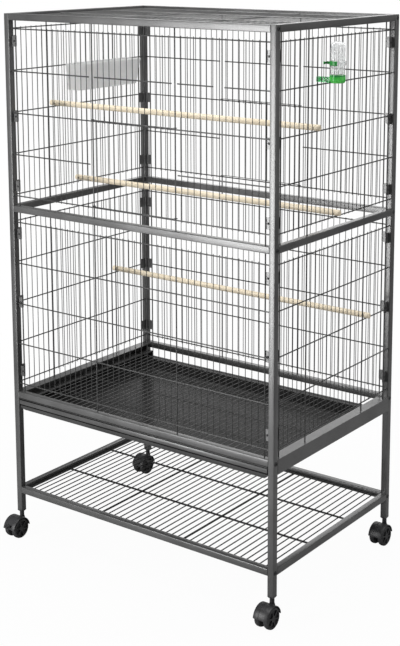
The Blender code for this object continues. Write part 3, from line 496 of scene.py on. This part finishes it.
def lug(bm, side, edge_u, post_u, z):
    """Pressed lug between an edge rod and a post, with a cross-slotted screw."""
    half = 0.013
    inner = edge_u - 0.0012
    outer = post_u - 0.0001
    back = 0.0022
    front = 0.0008
    corner = 0.003
    outline = []
    for cx, cz, start in ((outer, half, 0), (inner + corner, half - corner, 90),
                          (inner + corner, -half + corner, 180), (outer, -half, 270)):
        if start in (0, 270):
            outline.append((cx, cz))
            continue
        for k in range(5):
            a = math.radians(start + 90 * k / 4)
            outline.append((cx + corner * math.cos(a), cz + corner * math.sin(a)))
    # The plate takes the lighter lug coat, painted light
    ring_back = [(side * px, back, z + pz) for px, pz in outline]
    ring_front = [(side * px, front, z + pz) for px, pz in outline]
    loft(bm, [ring_back, ring_front], mat_index=1)
    middle = side * (inner + outer) / 2
    head = revolve([(0, -0.0012), (0.0011, -0.0012), (0.0020, -0.0009), (0.0027, -0.0001),
                    (0.0027, 0.0006), (0, 0.0006)], 16)
    seat = Matrix.Translation((middle, front - 0.0004, z))
    turn = seat @ Matrix.Rotation(math.radians(-90), 4, "X")
    join_into(bm, head, turn, 2)
    for angle in (20, 110):
        slot_bm = bmesh.new()
        box(slot_bm, (-0.0016, -0.00025, -0.0013), (0.0016, 0.00025, -0.0009))
        join_into(bm, slot_bm, turn @ about_z(angle), 0)


def places(edge_u, gaps):
    """Where the uprights between the two edge rods stand."""
    return [-edge_u + 2 * edge_u * i / gaps for i in range(1, gaps)]


def panel(name, node, post_u, edge_u, gaps, thick_at, levels, rod_low, rod_high, lug_levels, turn,
          offset, door=False, short_bar=None):
    """Welded panel. With a door, its bars leave the guide rods free and the doorway open."""
    rng = random.Random(name)
    us = places(edge_u, gaps)
    heavy = [us[i - 1] for i in thick_at]
    bm = bmesh.new()
    bar_y = -(THIN + BAR - WELD_DEPTH)
    reach = post_u - 0.0003
    past_bottom = 0.0035
    past_doorway = 0.0030
    past_top = 0.0032
    spans = []
    for row, z in enumerate(levels):
        row_spans = [(-reach, reach)]
        if door and row in (1, 3):
            left, right = heavy
            row_spans = [(-reach, left - DOOR_BAR_GAP), (right + DOOR_BAR_GAP, reach)]
            if row == 1:
                row_spans.append((left + DOOR_BAR_GAP, right - DOOR_BAR_GAP))
            if row == 1 and short_bar is not None:
                step = 2 * edge_u / gaps
                middle = us[short_bar - 1]
                stub = step - 0.002
                row_spans[1] = (right + DOOR_BAR_GAP, middle - stub)
                row_spans.append((middle + stub, reach))
        for low, high in row_spans:
            tube(bm, [(low, bar_y, z), (high, bar_y, z)], BAR)
        spans.append(row_spans)
    for u in [-edge_u, edge_u] + heavy:
        tube(bm, [(u, 0, rod_low), (u, 0, rod_high)], THICK)
    for number, u in enumerate(us, start=1):
        if number in thick_at:
            continue
        low = levels[-1] - past_bottom
        if door and thick_at[0] < number < thick_at[1]:
            low = levels[2] - past_doorway
        lean = rng.uniform(-0.0003, 0.0003)
        tube(bm, [(u, 0, low), (u + lean, rng.uniform(-0.0002, 0.0002), (low + levels[0]) / 2),
                  (u, 0, levels[0] + past_top)], THIN, THIN_SIDES)
        for row, z in enumerate(levels):
            if z < low or not any(a <= u <= b for a, b in spans[row]):
                continue
            blob(bm, (u, -THIN * 0.7, z), 0.0016, 0.0011, 0.0016)
    for u in [-edge_u, edge_u] + heavy:
        for row, z in enumerate(levels):
            if any(a - 0.001 <= u <= b + 0.001 for a, b in spans[row]):
                blob(bm, (u, -THICK * 0.8, z), 0.0023, 0.0012, 0.0020)
    for z in lug_levels:
        for side in (-1, 1):
            lug(bm, side, edge_u, post_u, z)
    bmesh.ops.transform(bm, verts=bm.verts[:], matrix=Matrix.Translation(offset) @ about_z(turn))
    link(name, bm, [WIRE, LUG, SCREW], "cage", replaces=(node,))


def panels():
    """An upper and a lower panel on each of the four sides."""
    for tag, back in (("front", False), ("back", True)):
        offset = (0, POST_Y if back else -POST_Y, 0)
        turn = 180 if back else 0
        base = BACK_BASE_Z if back else BASE_Z
        panel(f"upper_{tag}_wires", f"panel_upper_{tag}", INNER_X, EDGE_X, WIDE_GAPS, WIDE_THICK,
              UPPER, MID_Z + TUBE, TOP_Z - TUBE, UPPER_LUGS, turn, offset, True,
              None if back else SHORT_BAR)
        panel(f"lower_{tag}_wires", f"panel_lower_{tag}", INNER_X, EDGE_X, WIDE_GAPS, WIDE_THICK,
              LOWER, base + TUBE, MID_Z, LOWER_LUGS, turn, offset)
    for tag, right in (("left", False), ("right", True)):
        offset = (POST_X if right else -POST_X, 0, 0)
        turn = 90 if right else -90
        panel(f"upper_{tag}_wires", f"panel_upper_{tag}", INNER_Y, EDGE_Y, SIDE_GAPS, SIDE_THICK,
              UPPER, MID_Z + TUBE, TOP_Z - TUBE, UPPER_LUGS, turn, offset)
        panel(f"lower_{tag}_wires", f"panel_lower_{tag}", INNER_Y, EDGE_Y, SIDE_GAPS, SIDE_THICK,
              LOWER, APRON_TOP, MID_Z, LOWER_LUGS, turn, offset)


def flat_mesh(name, node, z, above, mat, thin, bar):
    """Wire field inside four rails, with two bars above or below its wires."""
    reach_u = INNER_X - 0.0002
    reach_v = INNER_Y - 0.0002
    edge_u = reach_u - 0.0018
    end_v = reach_v - 0.0016
    up = 1 if above else -1
    bm = bmesh.new()
    for v in (-end_v, end_v):
        tube(bm, [(-reach_u, v, z), (reach_u, v, z)], BAR)
    for v in (-end_v / 3, end_v / 3):
        rise = z + up * (thin + BAR - WELD_DEPTH)
        tube(bm, [(-reach_u, v, rise), (reach_u, v, rise)], bar)
    for u in (-edge_u, edge_u):
        tube(bm, [(u, -reach_v, z), (u, reach_v, z)], THICK)
    for number, u in enumerate(places(edge_u, WIDE_GAPS), start=1):
        thick = number in WIDE_THICK
        tube(bm, [(u, -end_v, z), (u, end_v, z)], bar if thick else thin, THIN_SIDES)
        for v in (-end_v / 3, end_v / 3):
            blob(bm, (u, v, z + up * THIN * 0.7), 0.0016, 0.0016, 0.0011)
    link(name, bm, mat, "cage", replaces=(node,))


def door(tag, back):
    """Lift door in front of the panel, its cross wires coiled round the guide rods."""
    us = places(EDGE_X, WIDE_GAPS)
    first, last = WIDE_THICK
    guide = us[last - 1]
    rest = BAR + DOOR_SEAT + DOOR_RING / 2
    low = UPPER[4] + rest
    high = UPPER[2] + rest
    off = -0.0060
    loop = 0.0036
    turns = 14
    bm = bmesh.new()
    for z in (low, high):
        path = []
        for side in (-1, 1):
            arc = []
            for k in range(turns + 1):
                a = math.radians(-90 + side * LOOP_ANGLE * k / turns)
                arc.append((side * guide + loop * math.cos(a), loop * math.sin(a), z))
            lead = [(side * (guide - 0.012), off, z), (side * (guide - 0.007), off + 0.0003, z),
                    (side * (guide - 0.0035), off + 0.0013, z)]
            if side < 0:
                path += list(reversed(arc)) + list(reversed(lead))
            else:
                path += lead + arc
        tube(bm, path, THIN, THIN_SIDES)
    for u in us[first:last - 1]:
        tube(bm, [(u, off - 0.0002, low - 0.0009), (u, off - 0.0002, high + 0.0009)], THIN * 0.99,
             THIN_SIDES)
        for z in (low, high):
            blob(bm, (u, off, z), 0.0016, 0.00115, 0.0013)
    y = POST_Y if back else -POST_Y
    turn = Matrix.Translation((0, y, 0)) @ about_z(180 if back else 0)
    bmesh.ops.transform(bm, verts=bm.verts[:], matrix=turn)
    link(f"lift_door_{tag}", bm, WIRE, f"{tag}_door", replaces=("door_" + tag,))


# Base

def grate():
    """Thin wires on top of a rectangle of rods with three cross rods."""
    low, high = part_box("grate")
    bm = bmesh.new()
    r = GRATE_ROD
    z = (low.z + high.z) / 2
    x = high.x - r
    front = low.y + r
    back = high.y - r
    for y in (front, back):
        tube(bm, [(-x, y, z), (x, y, z)], r, THIN_SIDES, mat_index=1)
    for u in (-x, x):
        tube(bm, [(u, front, z), (u, back, z)], r, THIN_SIDES, mat_index=1)
    for k in range(1, 4):
        y = low.y + (high.y - low.y) * k / 4
        tube(bm, [(-x, y, z - 0.0004), (x, y, z - 0.0004)], r, THIN_SIDES, mat_index=1)
    # The thin wires take the lighter grate coat, a painted highlight; the rods take the dark shelf
    # coat
    for u in places(x, WIDE_GAPS):
        tube(bm, [(u, front, z + 0.0002), (u, back, z + 0.0002)], GRATE_WIRE, THIN_SIDES)
    link("grate_wires", bm, [GRATE, SHELF], "floor_grate", replaces=("grate",))


def tray_pan():
    """Pan with round corners under a flange, with a slot between its lip and its front rim."""
    low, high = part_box("tray")
    flange = TRAY_FLANGE_Z
    wide = INNER_X - 0.001
    body = INNER_X - 0.027
    back = high.y
    body_back = back - 0.0215
    draft = 0.006

    def ring(half, front, end, z, radius):
        points = []
        across = half - radius
        for cx, cy, start in ((across, end - radius, 0), (-across, end - radius, 90),
                              (-across, front + radius, 180), (across, front + radius, 270)):
            for k in range(5):
                a = math.radians(start + 90 * k / 4)
                points.append((cx + radius * math.cos(a), cy + radius * math.sin(a), z))
        return points

    bm = bmesh.new()
    top = flange + SHEET
    inset = body - SHEET
    wall = low.y + 0.0130
    lip_back = low.y + SHEET
    floor_z = low.z + SHEET
    loft(bm, [ring(inset - draft, wall + SHEET, body_back - draft, floor_z, 0.0085),
              ring(inset, wall + SHEET, body_back - SHEET, top, 0.0085),
              ring(wide, lip_back, back, top, 0.0020),
              ring(wide, lip_back, back, flange, 0.0020),
              ring(body, wall, body_back, flange, 0.0100),
              ring(body - draft, wall, body_back - draft, low.z, 0.0100)])
    front = low.y + 0.0030
    inside = wall + 0.0010
    bar = bmesh.new()
    rim_top = flange - 0.0028
    section = [(front, rim_top), (front, flange - 0.0070), (front + 0.0036, low.z),
               (inside, low.z), (inside, rim_top)]
    end = INNER_X - 0.0030
    loft(bar, [[(side * end, y, z) for y, z in section] for side in (-1, 1)])
    for vert in bar.verts:
        if vert.co.z < flange - 0.0080:
            vert.co.x -= math.copysign(0.0100, vert.co.x)
    join_into(bm, bar, Matrix.Identity(4), 2)
    lip_u = wide - 0.0004
    soft_box(bm, (-lip_u, low.y, flange + 0.0012), (lip_u, lip_back + 0.0004, low.z + 0.0262),
             0.0006, mat_index=1)
    link("tray_pan", bm, [PAN, FRAME, PAN_RIM], "waste_tray", replaces=("tray",))


def dressed(node, mat, width):
    """A CAD node that keeps its shape, with rounded edges and a material of its own."""
    obj = frame["nodes"][node]
    obj.data.materials.clear()
    obj.data.materials.append(mat)
    soft = obj.modifiers.new("soft_edges", "BEVEL")
    soft.width = width
    soft.segments = 2
    soft.limit_method = "ANGLE"
    soft.angle_limit = math.radians(EDGE_LIMIT)


# Perches

def perch(tag):
    """Dowel with broken ends and a slightly uneven surface."""
    low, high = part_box("perch_" + tag)
    y = (low.y + high.y) / 2
    z = (low.z + high.z) / 2
    r = (high.z - low.z) / 2
    half = high.x
    stations = [(-half, r * 0.80), (-half + 0.0012, r * 0.97), (-half + 0.003, r)]
    count = 18
    stations += [(-half + 0.003 + (2 * half - 0.006) * k / count, r * (1 - 0.002 * (k % 3)))
                 for k in range(1, count)]
    stations += [(half - 0.003, r), (half - 0.0012, r * 0.97), (half, r * 0.80)]
    bm = bmesh.new()
    sides = 28
    turns = [2 * math.pi * k / sides for k in range(sides)]
    loft(bm, [[(x, y + radius * math.cos(a), z + radius * math.sin(a)) for a in turns]
              for x, radius in stations])
    link(f"perch_{tag}_dowel", bm, WOOD, "cage", replaces=("perch_" + tag,))


# Water bottle and bath

def water_bottle():
    """Thin clear bottle. Returns its axis and radius, which the cup and the holder follow."""
    low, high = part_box("water_bottle")
    x = (low.x + high.x) / 2
    y = (low.y + high.y) / 2
    r = (high.x - low.x) / 2 * BOTTLE_SLIM
    base = low.z
    top = high.z
    wall = 0.0009
    outer = [(r * 0.55, base), (r * 0.60, base + 0.0006), (r * 0.86, base + 0.0035),
             (r * 0.97, base + 0.0065), (r, base + 0.010), (r, base + 0.020),
             (r * 0.985, base + 0.021), (r * 0.985, base + 0.022), (r, base + 0.023),
             (r, top - 0.016), (r * 0.985, top - 0.0115), (r * 0.93, top - 0.0070),
             (r * 0.80, top - 0.0035), (r * 0.60, top - 0.0014), (r * 0.35, top - 0.0003), (0, top)]
    inner = [(max(radius - wall, 0), z - (wall if z > top - 0.012 else 0))
             for radius, z in reversed(outer)]
    inner[-1] = (r * 0.55 - wall, base)
    bm = revolve(outer + inner + [outer[0]], 40)
    bmesh.ops.translate(bm, verts=bm.verts[:], vec=Vector((x, y, 0)))
    link("bottle_shell", bm, CLEAR, "cage", limit=50, replaces=("water_bottle",))
    return x, y, r


def bottle_cup(x, y, r):
    """Ribbed cup with a darker collar, and its see-through trough inside the wires."""
    low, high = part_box("bottle_cup")
    floor = low.z + CUP_LIFT
    top = high.z
    outer = r + 0.0015
    inner = r + 0.0003
    collar = top - CUP_COLLAR
    profile = [(0, floor), (outer * 0.80, floor), (outer * 0.90, floor + 0.0008),
               (outer * 0.97, floor + 0.003), (outer, floor + 0.006), (outer, collar),
               (outer, top - 0.0012), (outer - 0.0003, top), (inner + 0.0002, top),
               (inner, top - 0.001), (inner, floor + 0.0066), (outer * 0.80, floor + 0.0014),
               (0, floor + 0.0012)]
    bm = revolve(profile, 40)
    ribs = 20
    for k in range(ribs):
        rib = bmesh.new()
        soft_box(rib, (-0.0008, -0.0003, floor + 0.005), (0.0008, 0.0003, collar), 0.00025, 1)
        turn = about_z(360 * k / ribs) @ Matrix.Translation((0, outer - 0.0001, 0))
        join_into(bm, rib, turn)
    for face in bm.faces:
        face.material_index = 1 if face.calc_center_median().z > collar else 0
    bmesh.ops.translate(bm, verts=bm.verts[:], vec=Vector((x, y, 0)))
    link("bottle_base", bm, [GREEN, DARK_GREEN], "cage", replaces=("bottle_cup",))

    sill = UPPER[1] + BAR + 0.0003
    wide = 0.0065
    inside = low.x
    bm = bmesh.new()
    wall = 0.0011
    end = x - outer + 0.0008

    def outline(gap, z):
        radius = 0.0040 - gap
        pts = [(end, y - wide + gap, z)]
        for start in (270, 180):
            cx = inside + gap + radius
            cy = y - wide + gap + radius if start == 270 else y + wide - gap - radius
            for k in range(7):
                a = math.radians(start - 90 * k / 6)
                pts.append((cx + radius * math.cos(a), cy + radius * math.sin(a), z))
        pts.append((end, y + wide - gap, z))
        return pts

    rise = 0.0110
    loft(bm, [outline(wall, sill + wall), outline(wall, sill + rise), outline(0.0, sill + rise),
              outline(0.0, sill)])
    link("drinking_trough", bm, GREEN_CLEAR, "cage")


def bottle_clip(x, y, r):
    """Holder: a ring round the bottle, green in front, an arm and a hooked cross piece."""
    low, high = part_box("bottle_clip")
    z = (low.z + high.z) / 2
    half = (high.z - low.z) / 2
    inner = r + 0.0003
    outer = r + 0.0024
    ring = revolve([(inner, z - half), (outer - 0.0004, z - half), (outer, z - half + 0.0005),
                    (outer, z + half - 0.0005), (outer - 0.0004, z + half), (inner, z + half),
                    (inner, z - half)], 40)
    bm = bmesh.new()
    join_into(bm, ring, Matrix.Translation((x, y, 0)), 1)
    for face in bm.faces:
        around = face.calc_center_median()
        if around.y < y and around.x < x + 0.5 * r:
            face.material_index = 0
    soft_box(bm, (low.x + 0.0011, y - 0.003, z - 0.003), (x - inner - 0.0006, y + 0.003, z + 0.003),
             0.0007)
    plate = low.x + 0.0022
    soft_box(bm, (low.x, y - 0.015, z - 0.0024), (plate, y + 0.015, z + 0.0024), 0.0007)
    for way in (-1, 1):
        hook = y + way * 0.0135
        soft_box(bm, (low.x, hook - 0.0016, z - 0.0034), (plate, hook + 0.0016, z + 0.0034), 0.0006)
    link("bottle_holder", bm, [DARK_GREEN, CLEAR], "cage", replaces=("bottle_clip",))


# Casters

def wheel_face(bm, x0, side, centre):
    """Recessed outer face with spokes and a hub cap."""
    hub = revolve([(0, 0.0), (0.0068, 0.0), (0.0072, 0.0006), (0.0072, 0.0032), (0.0064, 0.0040),
                   (0.0030, 0.0043), (0, 0.0043)], 24)
    place = Matrix.Translation(centre + Vector((x0, 0, 0)))
    turn = place @ Matrix.Rotation(math.radians(90 * side), 4, "Y")
    join_into(bm, hub, turn)
    for k in range(6):
        spoke = bmesh.new()
        verts = box(spoke, (0.006, -0.0017, 0.0), (0.0192, 0.0017, 0.0042))
        for vert in verts:
            if vert.co.x > 0.01:
                vert.co.y *= 0.8
                vert.co.z *= 0.92
        join_into(bm, spoke, turn @ about_z(60 * k + 15))


def wheels(tag):
    """Two wheels with rounded treads on one axle."""
    node = "caster_wheels_" + tag
    low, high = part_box(node)
    r = WHEEL_RADIUS
    centre = Vector(((low.x + high.x) / 2, (low.y + high.y) / 2, r))
    outer = WHEEL_OUTER
    inner = WHEEL_INNER
    wheel = [(0.0040, inner), (r - 0.0034, inner), (r - 0.0014, inner + 0.0012),
             (r - 0.0002, inner + 0.0040), (r, (outer + inner) / 2), (r - 0.0002, outer - 0.0042),
             (r - 0.0012, outer - 0.0016), (0.0214, outer), (0.0202, outer),
             (0.0196, outer - 0.0006), (0.0188, outer - 0.0042), (0.0040, outer - 0.0042),
             (0, outer - 0.0042)]
    profile = [(radius, -x) for radius, x in reversed(wheel)] + wheel
    bm = bmesh.new()
    join_into(bm, revolve(profile, 48, "X"), Matrix.Translation(centre), 1)
    for side in (-1, 1):
        wheel_face(bm, side * (outer - 0.0044), side, centre)
    link(f"wheels_{tag}_pair", bm, [BLACK, TYRE], "wheels_" + tag, replaces=(node,))


def hood(tag):
    """Shell over the wheels, the web between them, and the stem up into the leg plug."""
    node = "caster_hood_" + tag
    low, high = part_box("leg_plug_" + tag)
    x = (low.x + high.x) / 2
    y = (low.y + high.y) / 2
    centre = Vector((x, y - AXLE_BACK, WHEEL_RADIUS))
    outer = HOOD_RADIUS
    inner = outer - 0.0020
    half = WHEEL_OUTER
    span = 180 - 2 * HOOD_START
    right = [(0.0052, outer - 0.0006), (0.0060, outer), (half - 0.0014, outer),
             (half - 0.0004, outer - 0.0005), (half, outer - 0.0012), (half, inner)]
    section = [(-px, radius) for px, radius in reversed(right)] + right
    bm = bmesh.new()
    steps = 30
    rings = []
    for k in range(steps + 1):
        a = math.radians(HOOD_START + span * k / steps)
        c = math.cos(a)
        s = math.sin(a)
        rings.append([(centre.x + px, centre.y + radius * c, centre.z + radius * s)
                      for px, radius in section])
    loft(bm, rings)
    web = outer - 0.0013
    web_half = 0.0043
    steps = 24
    web_rings = []
    for px in (-web_half, web_half):
        ring = []
        for k in range(steps + 1):
            a = math.radians(HOOD_START + span * k / steps)
            ring.append(centre + Vector((px, web * math.cos(a), web * math.sin(a))))
        for dy, dz in ((-0.0090, -0.0040), (-0.0045, -0.0085), (0.0045, -0.0085),
                       (0.0090, -0.0040)):
            ring.append(centre + Vector((px, dy, dz)))
        web_rings.append(ring)
    loft(bm, web_rings)
    collar = revolve([(0, 0.040), (0.0075, 0.040), (0.0070, 0.046), (0.0056, 0.0500),
                      (0.0055, 0.0612), (0.0050, 0.0617), (0, 0.0617)], 28)
    join_into(bm, collar, Matrix.Translation((x, y, 0)))
    stem = revolve([(0, 0.060), (0.0040, 0.060), (0.0040, 0.0915), (0.0035, 0.092), (0, 0.092)], 20)
    join_into(bm, stem, Matrix.Translation((x, y, 0)), 1)
    link(f"hood_{tag}_shell", bm, [BLACK, STEEL], "caster_" + tag,
         replaces=(node,))


def lever(tag):
    """Brake lever with four ribs across its pad."""
    node = "brake_lever_" + tag
    low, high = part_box(node)
    dressed(node, BLACK, 0.0005)
    bm = bmesh.new()
    x = (low.x + high.x) / 2
    top = high.z
    for k in range(4):
        y = low.y + 0.0018 + 0.0024 * k
        half = 0.0044 + 0.0004 * k
        soft_box(bm, (x - half, y - 0.0005, top - 0.0013), (x + half, y + 0.0005, top - 0.0006),
                 0.0002, 1)
    link(f"brake_pad_{tag}_ribs", bm, BLACK, "brake_" + tag)


# Light, floor and camera

def floor():
    """Pale floor, seen white by the camera except for a trace of shade under the cage."""
    bm = bmesh.new()
    bmesh.ops.create_circle(bm, cap_ends=True, segments=96, radius=9.0)
    mesh = bpy.data.meshes.new("floor")
    bm.to_mesh(mesh)
    bm.free()
    obj = bpy.data.objects.new("floor", mesh)
    bpy.context.scene.collection.objects.link(obj)
    mat, tree, shader = new_material("pale_floor")
    shader.inputs["Base Color"].default_value = (*grey(0.42), 1.0)
    shader.inputs["Roughness"].default_value = 0.8
    shader.inputs["Specular IOR Level"].default_value = 0.2
    white = add_node(tree, "ShaderNodeEmission", Strength=1.0, Color=(*grey(1.0), 1.0))
    path = tree.nodes.new("ShaderNodeLightPath")
    coords = tree.nodes.new("ShaderNodeTexCoord")
    length = add_node(tree, "ShaderNodeVectorMath", operation="LENGTH")
    tree.links.new(coords.outputs["Object"], length.inputs[0])
    fade = add_node(tree, "ShaderNodeMapRange")
    for key, value in (("From Min", 0.45), ("From Max", 1.9), ("To Min", 0.97), ("To Max", 1.0)):
        fade.inputs[key].default_value = value
    tree.links.new(length.outputs["Value"], fade.inputs["Value"])
    amount = add_node(tree, "ShaderNodeMath", operation="MULTIPLY")
    tree.links.new(fade.outputs["Result"], amount.inputs[0])
    tree.links.new(path.outputs["Is Camera Ray"], amount.inputs[1])
    mix = tree.nodes.new("ShaderNodeMixShader")
    tree.links.new(amount.outputs[0], mix.inputs[0])
    tree.links.new(shader.outputs[0], mix.inputs[1])
    tree.links.new(white.outputs[0], mix.inputs[2])
    tree.links.new(mix.outputs[0], tree.nodes["Material Output"].inputs["Surface"])
    mesh.materials.append(mat)


def world():
    """Even grey light, seen white by the camera and through clear pieces."""
    scene_world = bpy.data.worlds.new("studio")
    bpy.context.scene.world = scene_world
    scene_world.use_nodes = True
    tree = scene_world.node_tree
    back = tree.nodes["Background"]
    path = tree.nodes.new("ShaderNodeLightPath")
    white = add_node(tree, "ShaderNodeBackground", Strength=1.0, Color=(*grey(1.0), 1.0))
    back.inputs["Color"].default_value = (*grey(0.84), 1.0)
    back.inputs["Strength"].default_value = 0.42
    seen = add_node(tree, "ShaderNodeMath", operation="MAXIMUM")
    tree.links.new(path.outputs["Is Camera Ray"], seen.inputs[0])
    tree.links.new(path.outputs["Is Transmission Ray"], seen.inputs[1])
    mix = tree.nodes.new("ShaderNodeMixShader")
    tree.links.new(seen.outputs[0], mix.inputs[0])
    tree.links.new(back.outputs[0], mix.inputs[1])
    tree.links.new(white.outputs[0], mix.inputs[2])
    tree.links.new(mix.outputs[0], tree.nodes["World Output"].inputs["Surface"])


def area_light(name, place, target, width, height, power):
    """Softbox that the camera doesn't see."""
    data = bpy.data.lights.new(name, "AREA")
    data.shape = "RECTANGLE"
    data.size = width
    data.size_y = height
    data.energy = power
    obj = bpy.data.objects.new(name, data)
    bpy.context.scene.collection.objects.link(obj)
    obj.location = place
    way = Vector(target) - Vector(place)
    obj.rotation_euler = way.to_track_quat("-Z", "Y").to_euler()
    obj.visible_camera = False


def lights():
    """The front box is mirrored in the front faces, and the back one in the tops of the rails."""
    area_light("softbox_front", (-0.74, -2.00, 0.82), (0.42, -0.26, 0.82), 0.46, 1.50, 36)
    area_light("softbox_top", (0.1, -0.2, 3.1), (0.0, 0.0, 0.8), 2.6, 2.2, 78)
    area_light("softbox_back", (-1.9, 3.2, 1.75), (0.0, 0.0, 0.6), 1.8, 1.1, 14)
    area_light("softbox_right", (2.9, 0.9, 1.5), (0.0, 0.0, 0.7), 1.2, 1.6, 10)


def camera():
    """The photo's view. Its lens shift is kept small, so that other views hold the cage too."""
    data = bpy.data.cameras.new("camera")
    obj = bpy.data.objects.new("camera", data)
    bpy.context.scene.collection.objects.link(obj)
    bpy.context.scene.camera = obj
    focal_px = 1311.0
    wide_px = 400
    long_side = 646
    axis_px = (228.4, 163.0)
    look_down = 9.48
    heading = 35.97
    data.sensor_fit = "AUTO"
    data.sensor_width = 36.0
    data.lens = focal_px / long_side * data.sensor_width
    data.shift_x = (wide_px / 2 - axis_px[0]) / long_side
    data.shift_y = (axis_px[1] - long_side / 2) / long_side
    obj.location = (1.891, -2.492, 1.485)
    obj.rotation_euler = (math.radians(90 - look_down), 0.0, math.radians(heading))
    data.clip_end = 60.0


def build():
    """Draws every piece of the object."""
    frame_tubes()
    panels()
    # The top wires take the lighter coat, painted light from above
    flat_mesh("top_wires", "top_mesh", TOP_Z - TUBE / 2, True, TOP, 0.0007, BAR)
    flat_mesh("shelf_wires", "shelf_mesh", SHELF_Z + TUBE / 2, False, SHELF, 0.0014, 0.0024)
    door("front", False)
    door("back", True)
    grate()
    tray_pan()
    for tag in ("left", "right"):
        dressed("apron_" + tag, FRAME, 0.0004)
    for tag in ("front", "middle", "back"):
        perch(tag)
    x, y, r = water_bottle()
    bottle_cup(x, y, r)
    bottle_clip(x, y, r)
    dressed("bath", MILKY, 0.0006)
    for tag, _, _ in CORNERS:
        dressed("leg_plug_" + tag, PLUG, 0.0005)
        wheels(tag)
        hood(tag)
    for tag in ("fl", "bl"):
        lever(tag)


build()
floor()
world()
lights()
camera()
bpy.context.scene.view_settings.view_transform = "Standard"
